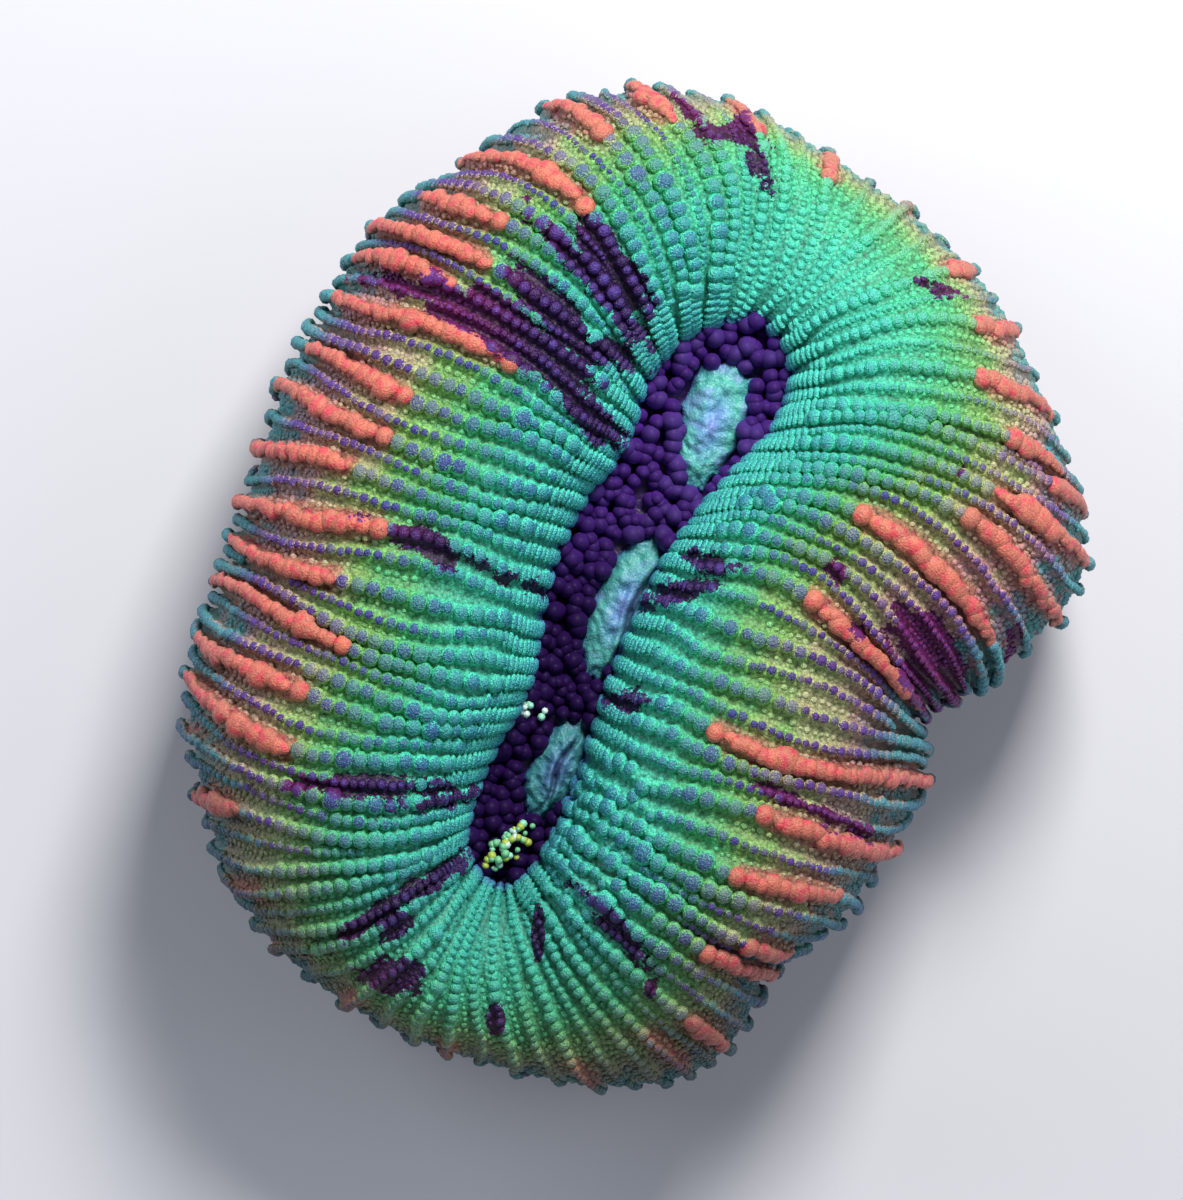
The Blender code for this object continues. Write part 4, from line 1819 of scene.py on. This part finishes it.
@dataclass
class ValleyFloor:
    """The bubbles, mouths and clusters of pale beads in the valley. Sizes in mm."""

    fold: Fold
    pitch: float = 1.65
    mouths: tuple[Mouth, ...] = (
        Mouth(8.3, 17.9, 72.0, 7.6, 3.7, 0.25, -0.1, 0.12),
        Mouth(-1.4, -1.9, 65.0, 8.8, 3.3, 0.1, -0.42, 0.8),
        Mouth(-8.6, -19.6, 64.0, 6.2, 3.0, 0.0, -0.1, 0.7),
    )

    def __post_init__(self) -> None:
        """Find the valley's two edges and its middle line."""
        self.chance = np.random.default_rng(SEED + 1)
        t = np.linspace(0.01, 0.99, 240)
        none = np.zeros_like(t)
        north, south = self.fold.north_end, self.fold.south_end
        self.west = self.fold.plan(north + t * (1 + south - north), none)
        self.east = self.fold.plan(north - t * (north - south), none)
        middle = (self.west + self.east) / 2
        self.run = np.concatenate([[0], np.cumsum(np.linalg.norm(np.diff(middle, axis=0), axis=1))])

    def at(self, along: float, across: float) -> Array:
        """Place in plan on the valley floor.

        Args:
            along: Distance from the north end along the middle line, in mm.
            across: -1 on the west edge to 1 on the east.

        Returns:
            The place, in mm.
        """
        west = np.array([np.interp(along, self.run, self.west[:, k]) for k in range(2)])
        east = np.array([np.interp(along, self.run, self.east[:, k]) for k in range(2)])
        return west + (east - west) * (across + 1) / 2

    def bubbles(self, material: bpy.types.Material) -> bpy.types.Object:
        """Pack bubbles over the floor and join them.

        Args:
            material: Their finish.

        Returns:
            The piece.
        """
        centres, radii, greys, turns = [], [], [], []
        along = 0.8
        odd = 0
        while along < self.run[-1] - 0.6:
            width = float(np.linalg.norm(self.at(along, 1) - self.at(along, -1)))
            abreast = max(2, round(width / self.pitch))
            odd = 1 - odd
            for k in range(abreast + odd):
                luck, other, third = self.chance.random(3)
                across = -1 + (2 * k + (1 - odd)) / abreast + 0.25 * (luck - 0.5)
                across = max(-0.97, min(0.97, across))
                x, y = self.at(along + 1.1 * (other - 0.5), across)
                radius = 0.84 + 0.42 * third**1.5
                if any(mouth.covers(x, y, -0.15) for mouth in self.mouths):
                    continue
                lift = 1.3 * across**2 + 0.5 * luck
                centres.append((x, y, float(self.fold.floor_at(y)) + 0.35 + lift))
                radii.append((radius * (0.86 + 0.2 * luck), radius, radius * (1.3 + 0.5 * other)))
                greys.append(1.0 if third > 0.75 and y > 6 else 0.25 * luck)
                tilt = Matrix.Rotation(6.28 * third, 3, "Z") @ Matrix.Rotation(0.5 * (luck - 0.5), 3, "X")
                turns.append(tilt.to_quaternion()[:])
            along += self.pitch * 0.84
        spots = np.array(centres)
        # Painted shade: bubbles are painted darker towards the south, where the valley is deep and narrow.
        tints = {"grey": np.array(greys), "gloom": 0.7 * smoothstep(12, -4, spots[:, 1])}
        mesh = spread_shapes(ball(12, 8), spots * MM, np.array(turns), np.array(radii) * MM, tints)
        return add_object("valley_bubbles", mesh, material)

    def clusters(self, material: bpy.types.Material) -> bpy.types.Object:
        """Heap the small pale beads at the two places where they lie.

        Args:
            material: Their finish.

        Returns:
            The piece.
        """
        heaps = (
            (Spot(-11.6, -13.0, 1.9, 0.9, -15), 16, 0.0),
            (Spot(-13.9, -28.2, 3.8, 1.5, 42), 46, 1.0),
        )
        tints = (paint(214, 240, 232), paint(150, 226, 196), paint(176, 196, 80), paint(120, 200, 150))
        centres, radii, colours = [], [], []
        for spot, count, yellow in heaps:
            c, s = cos_sin(spot.turn)
            for _ in range(count):
                far = math.sqrt(self.chance.random())
                turn = 2 * math.pi * self.chance.random()
                luck, other = self.chance.random(2)
                along = far * math.cos(turn) * spot.length
                side = far * math.sin(turn) * spot.width
                x = spot.x + along * c - side * s
                y = spot.y + along * s + side * c
                radius = 0.28 + 0.26 * luck
                centres.append((x, y, float(self.fold.floor_at(y)) + 2.2 + 1.2 * (1 - far) + 0.4 * other))
                radii.append((radius, radius, radius * 1.2))
                colours.append(tints[int(other * (2 + 2 * yellow))])
        turns = np.tile((1.0, 0.0, 0.0, 0.0), (len(centres), 1))
        hues = {"tint": np.array(colours)}
        mesh = spread_shapes(ball(8, 5), np.array(centres) * MM, turns, np.array(radii) * MM, hues)
        return add_object("pale_bead_clusters", mesh, material)

    def build(self) -> list[bpy.types.Object]:
        """Make everything on the valley floor.

        Returns:
            The pieces.
        """
        flesh = MouthFinish().build()
        made = [mouth.build(f"mouth_{k + 1}", self.fold, flesh) for k, mouth in enumerate(self.mouths)]
        made.append(self.bubbles(BubbleFinish().build()))
        made.append(self.clusters(PaleBeadFinish().build()))
        return made


@dataclass(frozen=True)
class Lamp:
    """One soft square lamp, in metres and watts."""

    name: str
    place: tuple[float, float, float]
    size: float
    power: float
    colour: tuple[float, float, float]


@dataclass(frozen=True)
class Studio:
    """Pale floor, soft lamps, and the camera looking straight down."""

    lamps: tuple[Lamp, ...] = (
        Lamp("key", (0.10, 0.29, 0.38), 0.15, 2.9, (1.0, 0.98, 0.95)),
        Lamp("side", (0.55, 0.0, 0.5), 0.5, 1.0, (0.85, 0.9, 1.0)),
        Lamp("west", (-0.5, 0.24, 0.3), 0.4, 1.5, (0.85, 0.92, 1.0)),
        Lamp("fill", (0.3, -0.6, 0.3), 0.8, 1.1, (0.85, 0.92, 1.0)),
    )
    aim: tuple[float, float, float] = (-0.0048, -0.0011, 0.025)
    distance: float = 0.9
    view_height: float = 0.132
    sensor: float = 36.0
    air: float = 0.13

    def floor(self) -> bpy.types.Object:
        """Lay the pale floor under the foot.

        Returns:
            The floor.
        """
        bm = bmesh.new()
        bmesh.ops.create_grid(bm, x_segments=1, y_segments=1, size=3.0)
        mesh = bpy.data.meshes.new("studio_floor")
        bm.to_mesh(mesh)
        bm.free()
        w = Wiring("studio_floor")
        w.set(Base_Color=paint(214, 214, 220), Roughness=0.9, Specular_IOR_Level=0.1)
        mesh.materials.append(w.material)
        made = bpy.data.objects.new("studio_floor", mesh)
        bpy.context.scene.collection.objects.link(made)
        return made

    def light(self) -> None:
        """Hang the lamps and fill the air with pale light."""
        scene = bpy.context.scene
        for lamp in self.lamps:
            data = bpy.data.lights.new(lamp.name, "AREA")
            data.shape = "SQUARE"
            data.size = lamp.size
            data.energy = lamp.power
            data.color = lamp.colour
            made = bpy.data.objects.new(lamp.name, data)
            made.location = lamp.place
            beam = Vector(self.aim) - Vector(lamp.place)
            made.rotation_euler = beam.to_track_quat("-Z", "Y").to_euler()
            scene.collection.objects.link(made)
        scene.world = bpy.data.worlds.new("studio_air")
        scene.world.use_nodes = True
        air = scene.world.node_tree.nodes["Background"]
        air.inputs["Color"].default_value = (0.86, 0.9, 1.0, 1)
        air.inputs["Strength"].default_value = self.air
        scene.view_settings.view_transform = "Standard"

    def camera(self) -> bpy.types.Object:
        """Set the camera above, with the image's top towards +Y.

        Returns:
            The camera.
        """
        data = bpy.data.cameras.new("camera")
        data.sensor_fit = "VERTICAL"
        data.sensor_width = self.sensor
        data.sensor_height = self.sensor
        data.lens = self.sensor * self.distance / self.view_height
        data.clip_end = 20
        made = bpy.data.objects.new("camera", data)
        made.location = (self.aim[0], self.aim[1], self.aim[2] + self.distance)
        bpy.context.scene.collection.objects.link(made)
        bpy.context.scene.camera = made
        return made

    def build(self) -> None:
        """Make the studio."""
        self.floor()
        self.light()
        self.camera()


def main() -> None:
    """Build the coral in its studio."""
    logging.basicConfig(level=logging.INFO, format="%(name)s: %(message)s")
    Studio().build()
    skin = RowedSkin()
    log.info("%d main rows", skin.count)
    pieces = [FleshPiece(skin).build()]
    pieces += BeadStrings(skin).build()
    pieces += ValleyFloor(skin.fold).build()
    total = 0
    for piece in pieces:
        piece.data.calc_loop_triangles()
        total += len(piece.data.loop_triangles)
        log.info("%s: %d triangles", piece.name, len(piece.data.loop_triangles))
    log.info("%d triangles in all", total)


if __name__ == "__main__":
    main()
